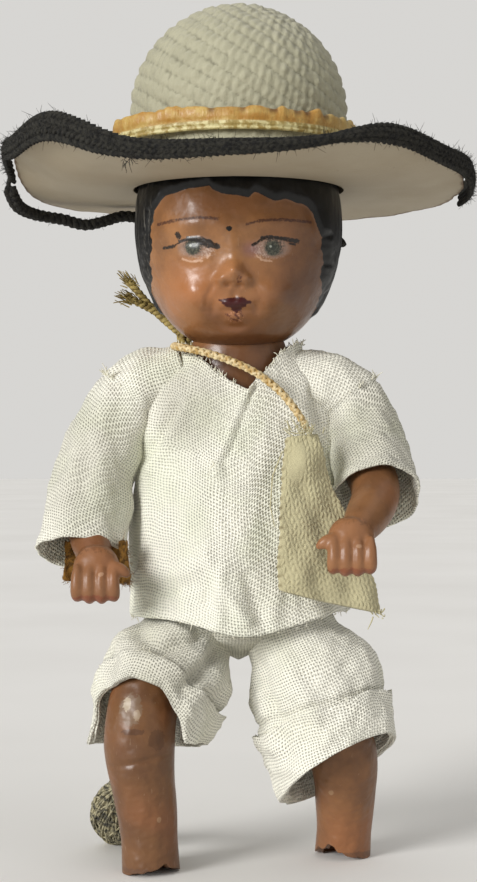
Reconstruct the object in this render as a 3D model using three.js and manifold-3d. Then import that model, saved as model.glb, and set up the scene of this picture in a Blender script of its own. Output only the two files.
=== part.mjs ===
// A small folk costume doll: a moulded figure in a cotton shirt, turned-up trousers and a trimmed sombrero,
// with a woven shoulder bag. Millimetres, +Z up, the doll faces -Y, the origin is on the ground under the hat.
import * as THREE from 'three';
import { mergeVertices } from 'three/addons/utils/BufferGeometryUtils.js';
import Module from 'manifold-3d';

const wasm = await Module();
wasm.setup();

// Fits
const GAP = 0.3; // between pieces that touch
const CLOTH = 0.9; // wall of the shirt and trousers
const CUFF_FOLD = 0.6; // extra thickness of a turned-up cuff
const CUFF_HEIGHT = 8;

// Head, measured from its centre
const HEAD = { z: 108, y: 0.2, halfWidth: 17.2, halfDepth: 16, up: 20.5, down: 20.6, turn: 3 };
const HAIR_RAISE = 0.6;
const FRINGE = 3.6; // height of the fringe over the head's centre
const HAIR_SIDE = 13.7; // half width of the face between the side locks
const NAPE = -15; // lower end of the hair
const FACE_CROWD = 0.45; // how much closer the facets lie on the face than at the back

// Hat
const BRIM = { radius: 38.6, thick: 1.1, y: 0.9, z: 114.8 };
const CROWN = { radius: 18.6, wall: 1.4, top: 146.6, spring: 128, flare: 3.6 };
const BAND = { bottom: 121, height: 4, thick: 1.6, scallops: 18, scallop: 0.35 };
const TRIM = { thick: 1.6, height: 4.2, fromDeg: -97, toDeg: 101 };
const LOOSE_BRAID = 2.2; // diameter
const STRAP = 1.6; // diameter

// Figure
const NECK = 6.2;
const SHOULDER = { x: 15.5, y: 1, z: 78.5 };
const LEG_END = 0.9; // how far the break rises round the stumps' flat

const UP = new THREE.Vector3(0, 0, 1);
const FRONT = new THREE.Vector3(0, -1, 0);
const v3 = (x, y, z) => new THREE.Vector3(x, y, z);
const bell = (d, width) => Math.exp(-((d / width) ** 2));
const smooth = (low, high, x) => THREE.MathUtils.smoothstep(x, low, high);

// Booleans
function solidOf(geometry) {
  const bare = geometry.clone();
  for (const name of ['normal', 'uv']) bare.deleteAttribute(name);
  const merged = mergeVertices(bare, 1e-3);
  return new wasm.Manifold(new wasm.Mesh({
    numProp: 3,
    vertProperties: new Float32Array(merged.attributes.position.array),
    triVerts: new Uint32Array(merged.index.array),
  }));
}

function geometryOf(solid) {
  const mesh = solid.getMesh();
  const geometry = new THREE.BufferGeometry();
  geometry.setAttribute('position', new THREE.BufferAttribute(new Float32Array(mesh.vertProperties), 3));
  geometry.setIndex(new THREE.BufferAttribute(new Uint32Array(mesh.triVerts), 1));
  return geometry;
}

const joined = (...solids) => solids.reduce((all, next) => all.add(next));

// Moves every point of a geometry to the place that a function gives it.
function warp(geometry, placeOf) {
  const position = geometry.attributes.position;
  for (let i = 0; i < position.count; i += 1) {
    const to = placeOf(new THREE.Vector3().fromBufferAttribute(position, i));
    position.setXYZ(i, to.x, to.y, to.z);
  }
  return geometry;
}

function block(x, y, z, centre) {
  return solidOf(new THREE.BoxGeometry(x, y, z).translate(centre.x, centre.y, centre.z));
}

// The centre and cross axes of a curve at a share of its length, run on straight past its ends.
function frameAt(curve, share, reference) {
  const on = THREE.MathUtils.clamp(share, 0, 1);
  const along = curve.getTangentAt(on);
  const centre = curve.getPointAt(on).addScaledVector(along, (share - on) * curve.getLength());
  const side = new THREE.Vector3().crossVectors(reference, along).normalize();
  const forward = new THREE.Vector3().crossVectors(along, side);
  return { centre, along, side, forward };
}

// A value at a share of a length, from evenly spaced values, in smooth steps.
function between(values, share) {
  const at = THREE.MathUtils.clamp(share, 0, 1) * (values.length - 1);
  const i = Math.min(Math.floor(at), values.length - 2);
  return THREE.MathUtils.lerp(values[i], values[i + 1], smooth(0, 1, at - i) * 0.5 + (at - i) * 0.5);
}

// A bar along a curve with flat ends. size gives { across, deep } and rim how far the end runs on, by angle:
// 0 is the side, a quarter turn the front.
function bar(curve, size, options = {}) {
  const { around = 18, along = 10, from = 0, to = 1, rim = () => 0, reference = FRONT, grow = 0 } = options;
  const length = curve.getLength();
  return warp(new THREE.CylinderGeometry(1, 1, 1, around, along), (p) => {
    const radius = Math.min(1, Math.hypot(p.x, p.z));
    const angle = Math.atan2(p.z, p.x);
    const step = 0.5 - p.y;
    const share = from + step * (to - from) + (step ** 3 * radius * rim(angle)) / length;
    const f = frameAt(curve, share, reference);
    const s = size(share, angle);
    return f.centre
      .addScaledVector(f.side, Math.cos(angle) * radius * (s.across + grow))
      .addScaledVector(f.forward, Math.sin(angle) * radius * (s.deep + grow));
  });
}

// A bar along a curve with round ends.
function pod(curve, size, options = {}) {
  const { around = 16, along = 12, blunt = 3, reference = FRONT, grow = 0 } = options;
  return warp(new THREE.SphereGeometry(1, around, along), (p) => {
    const radius = (1 - Math.min(1, Math.abs(p.y)) ** blunt) ** (1 / blunt);
    const angle = Math.atan2(p.z, p.x);
    const share = (1 - p.y) / 2;
    const f = frameAt(curve, share, reference);
    const s = size(share, angle);
    return f.centre
      .addScaledVector(f.side, Math.cos(angle) * radius * (s.across + grow))
      .addScaledVector(f.forward, Math.sin(angle) * radius * (s.deep + grow));
  });
}

const route = (...points) => new THREE.CatmullRomCurve3(points.map((p) => v3(...p)), false, 'centripetal');
const sizes = (across, deep) => (share) => ({ across: between(across, share), deep: between(deep, share) });

// The face's relief: how far a point of the front stands out, x across and z up from the head's centre.
const FACE = [
  { x: 0, z: -9.2, wide: 1.8, high: 2.2, out: 2.3 }, // nose
  { x: 0, z: -5.5, wide: 1.5, high: 3.2, out: 0.9 }, // bridge
  { x: 1.8, z: -10.2, wide: 1.0, high: 0.9, out: 0.6, pair: true }, // nostrils
  { x: 6.4, z: -5.2, wide: 3.6, high: 2.6, out: -1.4, pair: true }, // eye sockets
  { x: 6.4, z: -5.5, wide: 2.4, high: 1.6, out: 1.3, pair: true }, // eyeballs
  { x: 6.2, z: -1.0, wide: 4.5, high: 1.6, out: 0.5, pair: true }, // brows
  { x: 8.0, z: -12.4, wide: 4.6, high: 4.2, out: 1.4, pair: true }, // cheeks
  { x: 0, z: -14.4, wide: 3.4, high: 2.4, out: 0.9 }, // mouth
  { x: 0, z: -13.8, wide: 2.3, high: 0.8, out: 0.6 }, // upper lip
  { x: 0, z: -15.9, wide: 1.6, high: 0.7, out: 0.5 }, // lower lip
  { x: 0, z: -18.6, wide: 3.4, high: 2.0, out: 1.0 }, // chin
];

function relief(x, z) {
  let out = 0;
  for (const form of FACE) {
    for (const side of form.pair ? [-1, 1] : [1]) {
      out += form.out * bell(x - side * form.x, form.wide) * bell(z - form.z, form.high);
    }
  }
  return out;
}

function hairShare(x, z, facing) {
  const front = Math.max(smooth(FRINGE - 0.7, FRINGE + 0.7, z), smooth(HAIR_SIDE - 0.7, HAIR_SIDE + 0.7, Math.abs(x)));
  const where = facing > 0.01 ? front : 1;
  return where * smooth(NAPE - 1, NAPE + 1, z);
}

function headGeometry() {
  const turn = THREE.MathUtils.degToRad(-HEAD.turn);
  return warp(new THREE.SphereGeometry(1, 28, 22), (p) => {
    const height = Math.min(1, Math.abs(p.y));
    const even = Math.atan2(p.x, p.z);
    const bearing = even - FACE_CROWD * Math.sin(even);
    const [side, facing] = [Math.sin(bearing), Math.cos(bearing)];
    const round = (Math.abs(side) ** 2.2 + Math.abs(facing) ** 2.2) ** (-1 / 2.2);
    const level = p.y > 0 ? (1 - height ** 2.2) ** (1 / 2.5) : (1 - height ** 1.8) ** (1 / 2.6);
    const width = level * round;
    const z = p.y * (p.y > 0 ? HEAD.up : HEAD.down);
    const x = HEAD.halfWidth * width * side;
    const hair = HAIR_RAISE * hairShare(x, z, facing) * Math.min(1, 2 * width);
    const out = relief(x, z) * smooth(0.1, 0.6, facing) * Math.min(1, 2 * width);
    return v3(x + hair * side, -(HEAD.halfDepth * width + hair) * facing - out, z)
      .applyAxisAngle(UP, turn)
      .add(v3(0, HEAD.y, HEAD.z));
  });
}

// Torso
const TORSO_LINE = route([0, 1, 92], [0, 1, 86.5], [0, 1, 80], [0, 0.5, 66], [0, 0.5, 52], [0, 1, 39]);
const TORSO_SIZE = sizes([NECK, NECK, 13.4, 12.6, 12.4, 12.6, 8], [NECK, NECK, 6.8, 7.6, 8, 8.2, 6]);
const torsoSolid = (grow) => solidOf(pod(TORSO_LINE, TORSO_SIZE, { around: 12, along: 9, blunt: 4, grow }));

function makeFigure() {
  return joined(solidOf(headGeometry()), torsoSolid(0));
}

// Hands: four curled fingers side by side under the back of the hand, and a thumb.
function handSolid(fist, inward, grow) {
  const palm = solidOf(pod(
    route([fist.x, fist.y + 0.6, fist.z + 4.6], [fist.x, fist.y, fist.z - 1.8]),
    sizes([3.4, 4.1, 4.1], [2.6, 2.8, 2.4]),
    { around: 10, along: 6, grow },
  ));
  const fingers = [-1.5, -0.5, 0.5, 1.5].map((step) => {
    const x = fist.x + step * 2.0;
    const drop = 0.35 * Math.abs(step);
    return solidOf(pod(
      route([x, fist.y - 1.5, fist.z + 1.6], [x, fist.y - 1.9, fist.z - 2], [x, fist.y + 0.2, fist.z - 3.9 + drop]),
      sizes([1.05, 1.15, 1.0], [1.1, 1.2, 1.0]),
      { around: 6, along: 5, grow },
    ));
  });
  const thumb = solidOf(pod(
    route([fist.x + inward * 2.2, fist.y - 0.6, fist.z + 3], [fist.x + inward * 5.6, fist.y - 1, fist.z + 1.4]),
    sizes([1.3, 1.2, 1.1], [1.3, 1.2, 1.1]),
    { around: 6, along: 4, grow },
  ));
  return joined(palm, ...fingers, thumb);
}

const FISTS = { right: v3(-23.4, -14, 49), left: v3(18.2, -19.2, 53.9) };
const ARM_SIZE = sizes([4.4, 4.6, 4.3, 4.2, 3.6], [4.4, 4.6, 4.3, 4.0, 3.3]);
const ARM_LINES = {
  right: route([-SHOULDER.x, SHOULDER.y, SHOULDER.z], [-23, 0, 66], [-25, -4.6, 58], [-23.7, -12.6, 51.6]),
  left: route([SHOULDER.x, SHOULDER.y, SHOULDER.z], [21.4, -0.8, 68.6], [23, -8, 62.8], [18.8, -19, 56.4]),
};

function armSolid(side, grow) {
  const arm = solidOf(pod(ARM_LINES[side], ARM_SIZE, { around: 10, along: 8, blunt: 4, grow }));
  return joined(arm, handSolid(FISTS[side], side === 'right' ? 1 : -1, grow));
}

// Legs end in breaks: a flat rest with a rising ragged edge in front, and a hollow inside.
const LEG_LINES = {
  right: route([-7.6, 0.4, 39], [-14.2, -7.4, 32.6], [-16.4, -11.2, 23], [-15, -10.4, 8], [-14.4, -10, -3]),
  left: route([7.8, 0.4, 39], [13.6, -3.4, 29], [17.8, -3.6, 18], [18.3, -0.6, 9], [17.9, 2.4, -3]),
};
const LEG_SIZE = sizes([5.4, 5.6, 5.8, 5.9, 5.2, 4.7, 4.9], [6.2, 6.4, 5.8, 5.7, 5.0, 4.5, 4.7]);
const BREAKS = {
  right: { at: v3(-11.8, -15, -0.2), size: 1, tilt: -16, hollow: v3(-14.4, -10, -1.4) },
  left: { at: v3(14, -2.6, 0.6), size: 1.15, tilt: 24, hollow: v3(17.9, 2.4, -1.4) },
};

const legSolid = (side, grow) => solidOf(pod(LEG_LINES[side], LEG_SIZE, { around: 12, along: 11, blunt: 6, grow }));

function makeLeg(side) {
  const stump = BREAKS[side];
  const leg = legSolid(side, 0);
  const ground = block(30, 30, 12, v3(stump.at.x, stump.at.y, -6));
  const ragged = solidOf(warp(new THREE.SphereGeometry(1, 8, 5), (p) => v3(p.x * 4.4, p.y * 4.2, p.z * 2.6).multiplyScalar(stump.size)
    .applyAxisAngle(FRONT, THREE.MathUtils.degToRad(stump.tilt)).add(stump.at)));
  const hollow = solidOf(new THREE.SphereGeometry(1, 8, 6).scale(2.6, 2.5, 2.6)
    .translate(stump.hollow.x, stump.hollow.y, stump.hollow.z + LEG_END));
  return leg.subtract(ground).subtract(ragged).subtract(hollow).subtract(torsoSolid(GAP));
}

// Shirt: a bell-shaped body and two sleeves, hollow, open at the neck, wrists and hem.
const SHIRT_LINE = route([0, 0.8, 86.6], [0, 0.6, 70], [0, 0, 55], [0, -0.6, 40.6]);
const SHIRT_SIZE = (share, angle) => {
  const fold = smooth(0.35, 1, share) * 0.55 * Math.cos(7 * angle + 0.8);
  return {
    across: between([10.8, 15.4, 17, 17.4, 17.7, 17.9, 18.1, 18.4, 18.7], share) + fold,
    deep: between([7.6, 9.1, 9.7, 10.1, 10.4, 10.8, 11.3, 11.9, 12.5], share) + fold,
  };
};
const hemDip = (angle) => 3 * bell(angle - 1.45, 0.55) - 1.2 - 0.9 * Math.max(0, Math.cos(angle));
const SLEEVES = {
  right: {
    line: route([-8, 1, 80.6], [-17.6, 1, 77.2], [-22.6, 0, 70.3], [-25.4, -2, 61.8], [-26.4, -4.8, 52.4]),
    size: sizes([5.6, 6.2, 6.7, 7.2, 8.0], [5.9, 6.4, 6.6, 7.0, 7.6]),
    lift: 3.4,
  },
  left: {
    line: route([8, 1, 80.6], [16.2, 1, 78.6], [20.2, 0.2, 74], [22.4, -2.2, 68], [23.4, -5.4, 62]),
    size: sizes([5.6, 6.2, 6.6, 7.0, 7.4], [5.9, 6.3, 6.5, 6.8, 7.2]),
    lift: 2.4,
  },
};
const NECKLINE = { left: v3(-9.9, 0, 88.5), point: v3(1.2, 0, 80), right: v3(10.4, 0, 88.5), depth: 14 };

function sleeveBar({ line, size, lift }, grow, past) {
  const rim = (angle) => past * 6 - lift * Math.sin(angle);
  return solidOf(bar(line, size, { around: 12, along: 5, rim, grow }));
}

function makeShirt() {
  const bodyOf = (grow, past) => solidOf(bar(SHIRT_LINE, SHIRT_SIZE, {
    around: 18, along: 6, from: -past * 0.1, rim: (angle) => hemDip(angle) + past * 8, grow,
  }));
  const outer = joined(bodyOf(0, 0), sleeveBar(SLEEVES.right, 0, 0), sleeveBar(SLEEVES.left, 0, 0));
  const inner = joined(bodyOf(-CLOTH, 1), sleeveBar(SLEEVES.right, -CLOTH, 1), sleeveBar(SLEEVES.left, -CLOTH, 1));
  const notch = new THREE.Shape([NECKLINE.left, NECKLINE.point, NECKLINE.right].map((p) => new THREE.Vector2(p.x, p.z)));
  const neck = solidOf(new THREE.ExtrudeGeometry(notch, { depth: NECKLINE.depth, bevelEnabled: false })
    .rotateX(Math.PI / 2));
  const arms = joined(armSolid('right', GAP), armSolid('left', GAP));
  return outer.subtract(inner).subtract(neck).subtract(arms);
}

// Trousers: a waist and two wide legs with turned-up cuffs, hollow and open at the waist and knees.
const WAIST_LINE = route([0, 0.6, 50], [0, 0.6, 43], [0, 0.4, 36.5]);
const WAIST_SIZE = sizes([14.2, 14.6, 6], [9.2, 9.6, 7.4]);
const TROUSER_LEGS = {
  right: {
    line: route([-7.4, -0.2, 44], [-8.5, -0.2, 39], [-12.8, -5.4, 30], [-15.8, -8, 21.5]),
    size: sizes([7.8, 8, 11.2, 11.2, 10.2], [7.8, 8.2, 11, 11.4, 11.4]),
    rim: (angle) => -8.5 * bell(angle - 1.9, 0.8) - 1.2 * Math.cos(angle),
  },
  left: {
    line: route([7.4, -0.2, 44], [8.8, -0.2, 39], [12.8, -2.2, 30], [16.3, -4.6, 18.2]),
    size: sizes([7.8, 8, 11.6, 11.4, 10.2], [7.8, 8.2, 10.2, 10.4, 10.3]),
    rim: (angle) => 1.4 - Math.cos(angle) - 2.4 * Math.sin(angle),
  },
};

function legBar({ line, size, rim }, { grow = 0, past = 0, from = 0 }) {
  return solidOf(bar(line, size, { around: 14, along: from ? 2 : 4, from, rim: (a) => rim(a) + past, grow }));
}

function makeTrousers() {
  const legs = Object.values(TROUSER_LEGS);
  const cuffs = legs.map((leg) => legBar(leg, { grow: CUFF_FOLD, from: 1 - CUFF_HEIGHT / leg.line.getLength() }));
  const waist = solidOf(bar(WAIST_LINE, WAIST_SIZE, { around: 14, along: 2 }));
  const hollow = solidOf(bar(WAIST_LINE, WAIST_SIZE, { around: 14, along: 2, from: -0.3, to: 0.94, grow: -CLOTH }));
  const outer = joined(waist, ...legs.map((leg) => legBar(leg, {})), ...cuffs);
  const inner = joined(hollow, ...legs.map((leg) => legBar(leg, { grow: -CLOTH, past: 8 })));
  return outer.subtract(inner).subtract(joined(legSolid('right', GAP), legSolid('left', GAP)));
}

// Hat: the angle round it runs from the front, to the doll's left where positive.
const edgeRise = (deg) => 5.6 * bell(deg + 52, 20) + 5.0 * bell(deg + 84, 16)
  + 3.8 * bell(deg - 36, 20) + 1.6 * bell(deg - 70, 16) - 0.8 * bell(deg - 140, 40);
const HEAD_HOLE = { across: HEAD.halfWidth + HAIR_RAISE + GAP, deep: HEAD.halfDepth + HAIR_RAISE + GAP };

function brimPoint(deg, share, height) {
  const angle = THREE.MathUtils.degToRad(deg);
  const [side, front] = [Math.sin(angle), Math.cos(angle)];
  const x = THREE.MathUtils.lerp(HEAD_HOLE.across, BRIM.radius, share) * side;
  const y = THREE.MathUtils.lerp(HEAD_HOLE.deep, BRIM.radius, share) * -front + BRIM.y * share;
  return v3(x, y, BRIM.z + height + edgeRise(deg) * share ** 3);
}

function makeBrim() {
  const profile = [[1, 0], [1.55, 0], [2, 0], [2, 1], [1.55, 1], [1, 1], [1, 0]];
  const ring = new THREE.LatheGeometry(profile.map(([r, h]) => new THREE.Vector2(r, h)), 40);
  return solidOf(warp(ring, (p) => brimPoint(
    THREE.MathUtils.radToDeg(Math.atan2(p.x, p.z)),
    Math.hypot(p.x, p.z) - 1,
    p.y * BRIM.thick,
  )));
}

class BrimEdge extends THREE.Curve {
  getPoint(share) {
    const deg = THREE.MathUtils.lerp(TRIM.fromDeg, TRIM.toDeg, share);
    const reach = 1 + (GAP + TRIM.thick / 2) / (BRIM.radius - HEAD_HOLE.across);
    const point = brimPoint(deg, 1, BRIM.thick / 2);
    return point.setComponent(0, brimPoint(deg, reach, 0).x).setComponent(1, brimPoint(deg, reach, 0).y);
  }
}

function makeTrim() {
  const bumps = (share, angle) => 0.18 * Math.cos(share * 120 + 2 * angle);
  const size = (share, angle) => ({
    across: TRIM.thick / 2 + bumps(share, angle) * 0.4,
    deep: (TRIM.height / 2) * (1 + 0.12 * Math.sin(share * 9)) + bumps(share, angle),
  });
  return solidOf(bar(new BrimEdge(), size, { around: 6, along: 36, reference: UP }));
}

function makeCrown() {
  const { radius, wall, top, spring, flare } = CROWN;
  const foot = BRIM.z + BRIM.thick + 1.5 * GAP;
  const neck = BAND.bottom;
  const dome = (r, rise) => [90, 72, 54, 36, 18, 0].map((deg) => {
    const a = THREE.MathUtils.degToRad(deg);
    return new THREE.Vector2(r * Math.cos(a) ** 1.04, spring + rise * Math.sin(a));
  });
  const outer = [...dome(radius, top - spring), new THREE.Vector2(radius, neck),
    new THREE.Vector2(radius + flare * 0.35, (neck + foot) / 2), new THREE.Vector2(radius + flare, foot)];
  const inner = [...dome(radius - wall, top - spring - wall), new THREE.Vector2(radius - wall, neck),
    new THREE.Vector2(radius + flare * 0.35 - wall, (neck + foot) / 2), new THREE.Vector2(radius + flare - wall, foot)];
  outer[0].x = 0;
  inner[0].x = 0;
  return solidOf(new THREE.LatheGeometry([...inner, ...outer.reverse()], 22).rotateX(Math.PI / 2));
}

function makeBand() {
  const inside = CROWN.radius + GAP;
  const low = BAND.bottom + 0.2;
  const profile = [[0, 0.1], [0.8, 0], [1, 0.4], [0.6, 1], [0, 0.95], [0, 0.1]];
  const ring = new THREE.LatheGeometry(profile.map(([r, h]) => new THREE.Vector2(r + 1, h)), 36);
  return solidOf(warp(ring, (p) => {
    const angle = Math.atan2(p.x, p.z);
    const wave = Math.cos(BAND.scallops * angle) * BAND.scallop;
    const out = Math.hypot(p.x, p.z) - 1;
    const r = inside + out * (BAND.thick + wave * 0.6);
    return v3(r * Math.sin(angle), -r * Math.cos(angle), low + p.y * BAND.height + wave * smooth(0.5, 1, p.y));
  }));
}

// Cords: chosen points, one line each.
const LOOSE_BRAID_ROUTE = [
  [-40.4, 6.4, 116.2], [-39.2, 10, 113.5], [-36.4, 14, 112.5], [-32, 16.6, 112], [-28, 18, 111.2],
  [-24.6, 19.2, 112], [-21.4, 20, 113], [-17.4, 20.4, 112.6], [-12.6, 20.6, 111.6], [-7, 20.4, 110.6],
  [-1, 20, 109.9], [5, 19.5, 109.2], [10.4, 18.3, 108.5], [15, 16.2, 107.9], [18.6, 13.4, 107.4],
];
const STRAP_ROUTE = [
  [11.4, -12.1, 73.6], [10, -12.1, 76], [7, -11.6, 79.8], [2.8, -10.4, 83.1], [-1.6, -9.4, 85.2],
  [-5.8, -8.4, 86.6], [-9.2, -6.4, 87.4], [-10.9, -2.6, 87.9], [-10.6, 2.4, 88], [-8.4, 7, 88],
  [-4, 10.2, 87.2], [1, 11.6, 85], [6, 12.4, 80.6], [10.6, 12.6, 74.6], [15, 11.8, 68.6],
  [18.8, 9, 62.4], [20.2, 4.4, 57.6], [20.4, -1, 54.6], [20.4, -5.8, 53.6], [20, -9.6, 54.2],
];

function makeCord(points, diameter, steps) {
  const line = route(...points);
  return solidOf(bar(line, () => ({ across: diameter / 2, deep: diameter / 2 }), {
    around: 8, along: steps, reference: v3(0.15, 0.1, 1).normalize(),
  }));
}

function makeKnot() {
  const knot = solidOf(new THREE.SphereGeometry(1, 8, 6).scale(1.7, 1.5, 1.6).translate(-9.6, 10.2, 90.2));
  const tails = [[-20.8, 10.6, 101.6], [-20.6, 9.6, 97.8]].map(([x, y, z]) => solidOf(pod(
    route([-9.6, 10.2, 90.2], [-14.6, 11.6, 95], [x, y, z]),
    sizes([0.8, 0.8, 0.8, 1.5], [0.8, 0.8, 0.8, 0.9]),
    { around: 6, along: 6 },
  )));
  return joined(knot, ...tails);
}

// Bag: a flat woven pouch, drawn in at its mouth, hanging before the left hip.
const BAG = { top: 72.6, low: 45.1, mouth: 5.6, width: 18, thick: 2, x: 10.3, lowX: 14.8, y: -13.2, lowY: -13.7, turn: v3(0.4, -1, 0) };

function makeBag() {
  const line = route([BAG.x, BAG.y, BAG.top], [BAG.x + 1.2, BAG.y - 0.4, 62], [BAG.lowX, BAG.lowY, BAG.low]);
  const size = (share, angle) => ({
    across: between([BAG.mouth, 8.6, 12.4, 15.6, BAG.width], share) / 2,
    deep: (BAG.thick / 2) * (0.75 + 0.25 * Math.abs(Math.sin(angle))),
  });
  return solidOf(bar(line, size, { around: 12, along: 6, rim: (angle) => 3.9 * Math.cos(angle), reference: BAG.turn }));
}

// A felt scrap round the back of the right wrist, and a woven straw pad behind the right calf.
const SCRAP = { length: 15, height: 7, thick: 0.9, radius: 5.2, flare: 0.2, at: v3(-25.6, -6.1, 51.4) };
const PAD = { at: v3(-19.4, 3.4, 6.2), halfWidth: 6.6, halfLength: 11.6, halfThick: 2.8, lean: 54, turn: -8 };

function makeScrap() {
  return solidOf(warp(new THREE.BoxGeometry(SCRAP.length, SCRAP.thick, SCRAP.height, 9, 1, 2), (p) => {
    const radius = SCRAP.radius + p.y - SCRAP.flare * Math.min(0, p.z + 0.4);
    const angle = p.x / SCRAP.radius;
    return v3(radius * Math.sin(angle), radius * Math.cos(angle), p.z + 0.3 * Math.sin(p.x * 1.9))
      .add(SCRAP.at);
  }));
}

function makePad() {
  const egg = warp(new THREE.SphereGeometry(1, 14, 10), (p) => v3(
    p.x * PAD.halfWidth * (1 + 0.16 * p.y),
    -p.z * PAD.halfThick,
    p.y * PAD.halfLength,
  ).applyAxisAngle(FRONT, THREE.MathUtils.degToRad(PAD.turn))
    .applyAxisAngle(v3(1, 0, 0), THREE.MathUtils.degToRad(PAD.lean))
    .add(PAD.at));
  return solidOf(egg).subtract(legSolid('right', GAP)).subtract(block(60, 60, 12, v3(-18, 0, -6)));
}

// The doll
const PAINTS = {
  skin: { color: 0x9a6142, roughness: 0.3 },
  cotton: { color: 0xe9e7da, roughness: 0.95 },
  crownCord: { color: 0xdedbc6, roughness: 0.9 },
  brimCard: { color: 0xd9d4c6, roughness: 0.6 },
  goldBraid: { color: 0xd39a3a, roughness: 0.4 },
  darkBraid: { color: 0x2e2d28, roughness: 0.95 },
  strapCord: { color: 0xe6d391, roughness: 0.6 },
  bagWeave: { color: 0xcfc6a4, roughness: 0.95 },
  felt: { color: 0x8a5a1c, roughness: 1 },
  straw: { color: 0x8d8660, roughness: 0.95 },
};

const doll = new THREE.Group();

function addPiece(name, paint, solid) {
  const mesh = new THREE.Mesh(geometryOf(solid), new THREE.MeshStandardMaterial({ ...PAINTS[paint], metalness: 0 }));
  mesh.name = name;
  doll.add(mesh);
}

addPiece('head_and_torso', 'skin', makeFigure());
addPiece('right_arm', 'skin', armSolid('right', 0).subtract(torsoSolid(GAP)));
addPiece('left_arm', 'skin', armSolid('left', 0).subtract(torsoSolid(GAP)));
addPiece('right_leg', 'skin', makeLeg('right'));
addPiece('left_leg', 'skin', makeLeg('left'));
addPiece('shirt', 'cotton', makeShirt());
addPiece('trousers', 'cotton', makeTrousers());
addPiece('hat_crown', 'crownCord', makeCrown());
addPiece('hat_brim', 'brimCard', makeBrim());
addPiece('hat_band', 'goldBraid', makeBand());
addPiece('brim_braid', 'darkBraid', makeTrim());
addPiece('loose_braid', 'darkBraid', makeCord(LOOSE_BRAID_ROUTE, LOOSE_BRAID, 17));
addPiece('bag', 'bagWeave', makeBag());
addPiece('bag_strap', 'strapCord', makeCord(STRAP_ROUTE, STRAP, 26));
addPiece('strap_knot', 'strapCord', makeKnot());
addPiece('wrist_scrap', 'felt', makeScrap());
addPiece('calf_pad', 'straw', makePad());

export default doll;
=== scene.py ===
"""A small costume doll: moulded figure, cotton shirt and trousers, trimmed sombrero and a knitted bag."""
import math

import bpy
import numpy as np
from bpy.props import FloatProperty, FloatVectorProperty, PointerProperty
from bpy.types import Operator, Panel, PropertyGroup
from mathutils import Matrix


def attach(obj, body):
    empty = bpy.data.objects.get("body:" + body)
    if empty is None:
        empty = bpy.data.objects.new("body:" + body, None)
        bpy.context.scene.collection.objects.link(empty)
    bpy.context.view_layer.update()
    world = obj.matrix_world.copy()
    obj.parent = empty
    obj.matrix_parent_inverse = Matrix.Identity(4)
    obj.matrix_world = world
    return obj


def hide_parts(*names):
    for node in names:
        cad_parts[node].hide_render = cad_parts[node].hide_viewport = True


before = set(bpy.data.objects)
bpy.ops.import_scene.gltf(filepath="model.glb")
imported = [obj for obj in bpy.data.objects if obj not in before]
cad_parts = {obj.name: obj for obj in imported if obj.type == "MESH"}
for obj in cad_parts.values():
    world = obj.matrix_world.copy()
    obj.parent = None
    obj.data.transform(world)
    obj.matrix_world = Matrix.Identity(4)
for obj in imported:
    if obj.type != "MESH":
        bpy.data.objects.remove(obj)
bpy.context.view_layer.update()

bl_info = {
    "name": "Folk Costume Doll",
    "version": (1, 0, 0),
    "blender": (4, 5, 0),
    "location": "3D View > Sidebar > Doll",
    "description": "Models the doll, its clothes, its hat and its bag around the packed frame",
    "category": "Object",
}

MM = 0.001
MERGE_WITHIN = 0.004  # mm
TURN = 2 * math.pi
FRONT = np.array([0.0, -1.0, 0.0])
UP = np.array([0.0, 0.0, 1.0])


def tone(code):
    """A colour written as six hex digits, as the linear values that Blender works with."""
    shares = [int(code[i : i + 2], 16) / 255 for i in (0, 2, 4)]
    linear = [c / 12.92 if c <= 0.04045 else ((c + 0.055) / 1.055) ** 2.4 for c in shares]
    return (*linear, 1.0)


def toned(colour, code, share):
    """A colour moved by a share towards another that is written as six hex digits."""
    return tuple(mix(np.array(colour), np.array(tone(code)), share))


# ---------------------------------------------------------------- numbers and lines


def bell(distance, width):
    """1 at no distance, and falling away over a width."""
    return np.exp(-((distance / width) ** 2))


def step(low, high, x):
    """A smooth rise from 0 to 1 as x goes from low to high."""
    share = np.clip((x - low) / (high - low), 0, 1)
    return share * share * (3 - 2 * share)


def mix(a, b, share):
    return a + (b - a) * share


def between(values, share):
    """A value at a share of a length, from evenly spaced values."""
    values = np.asarray(values, float)
    at = np.clip(share, 0, 1) * (len(values) - 1)
    i = np.minimum(at.astype(int), len(values) - 2)
    part = at - i
    return values[i] + (values[i + 1] - values[i]) * (step(0, 1, part) * 0.5 + part * 0.5)


def turned_by(angle, from_angle):
    """How far an angle is turned from another, between minus and plus half a turn."""
    return np.angle(np.exp(1j * (angle - from_angle)))


def unit(vectors):
    return vectors / np.maximum(np.linalg.norm(vectors, axis=-1, keepdims=True), 1e-9)


def ripple(points, size, seed, octaves=2):
    """Soft noise of about -1 to 1 over points in mm, with features of the given size in mm."""
    draw = np.random.default_rng(seed)
    points = np.asarray(points, float)
    total = np.zeros(points.shape[:-1])
    for octave in range(octaves):
        for _ in range(8):
            way = unit(draw.normal(size=3))
            pace = TURN / size * 2**octave * draw.uniform(0.5, 1.3)
            total += 0.5**octave * np.sin(points @ way * pace + draw.uniform(0, TURN))
    return total / 3.2


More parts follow.
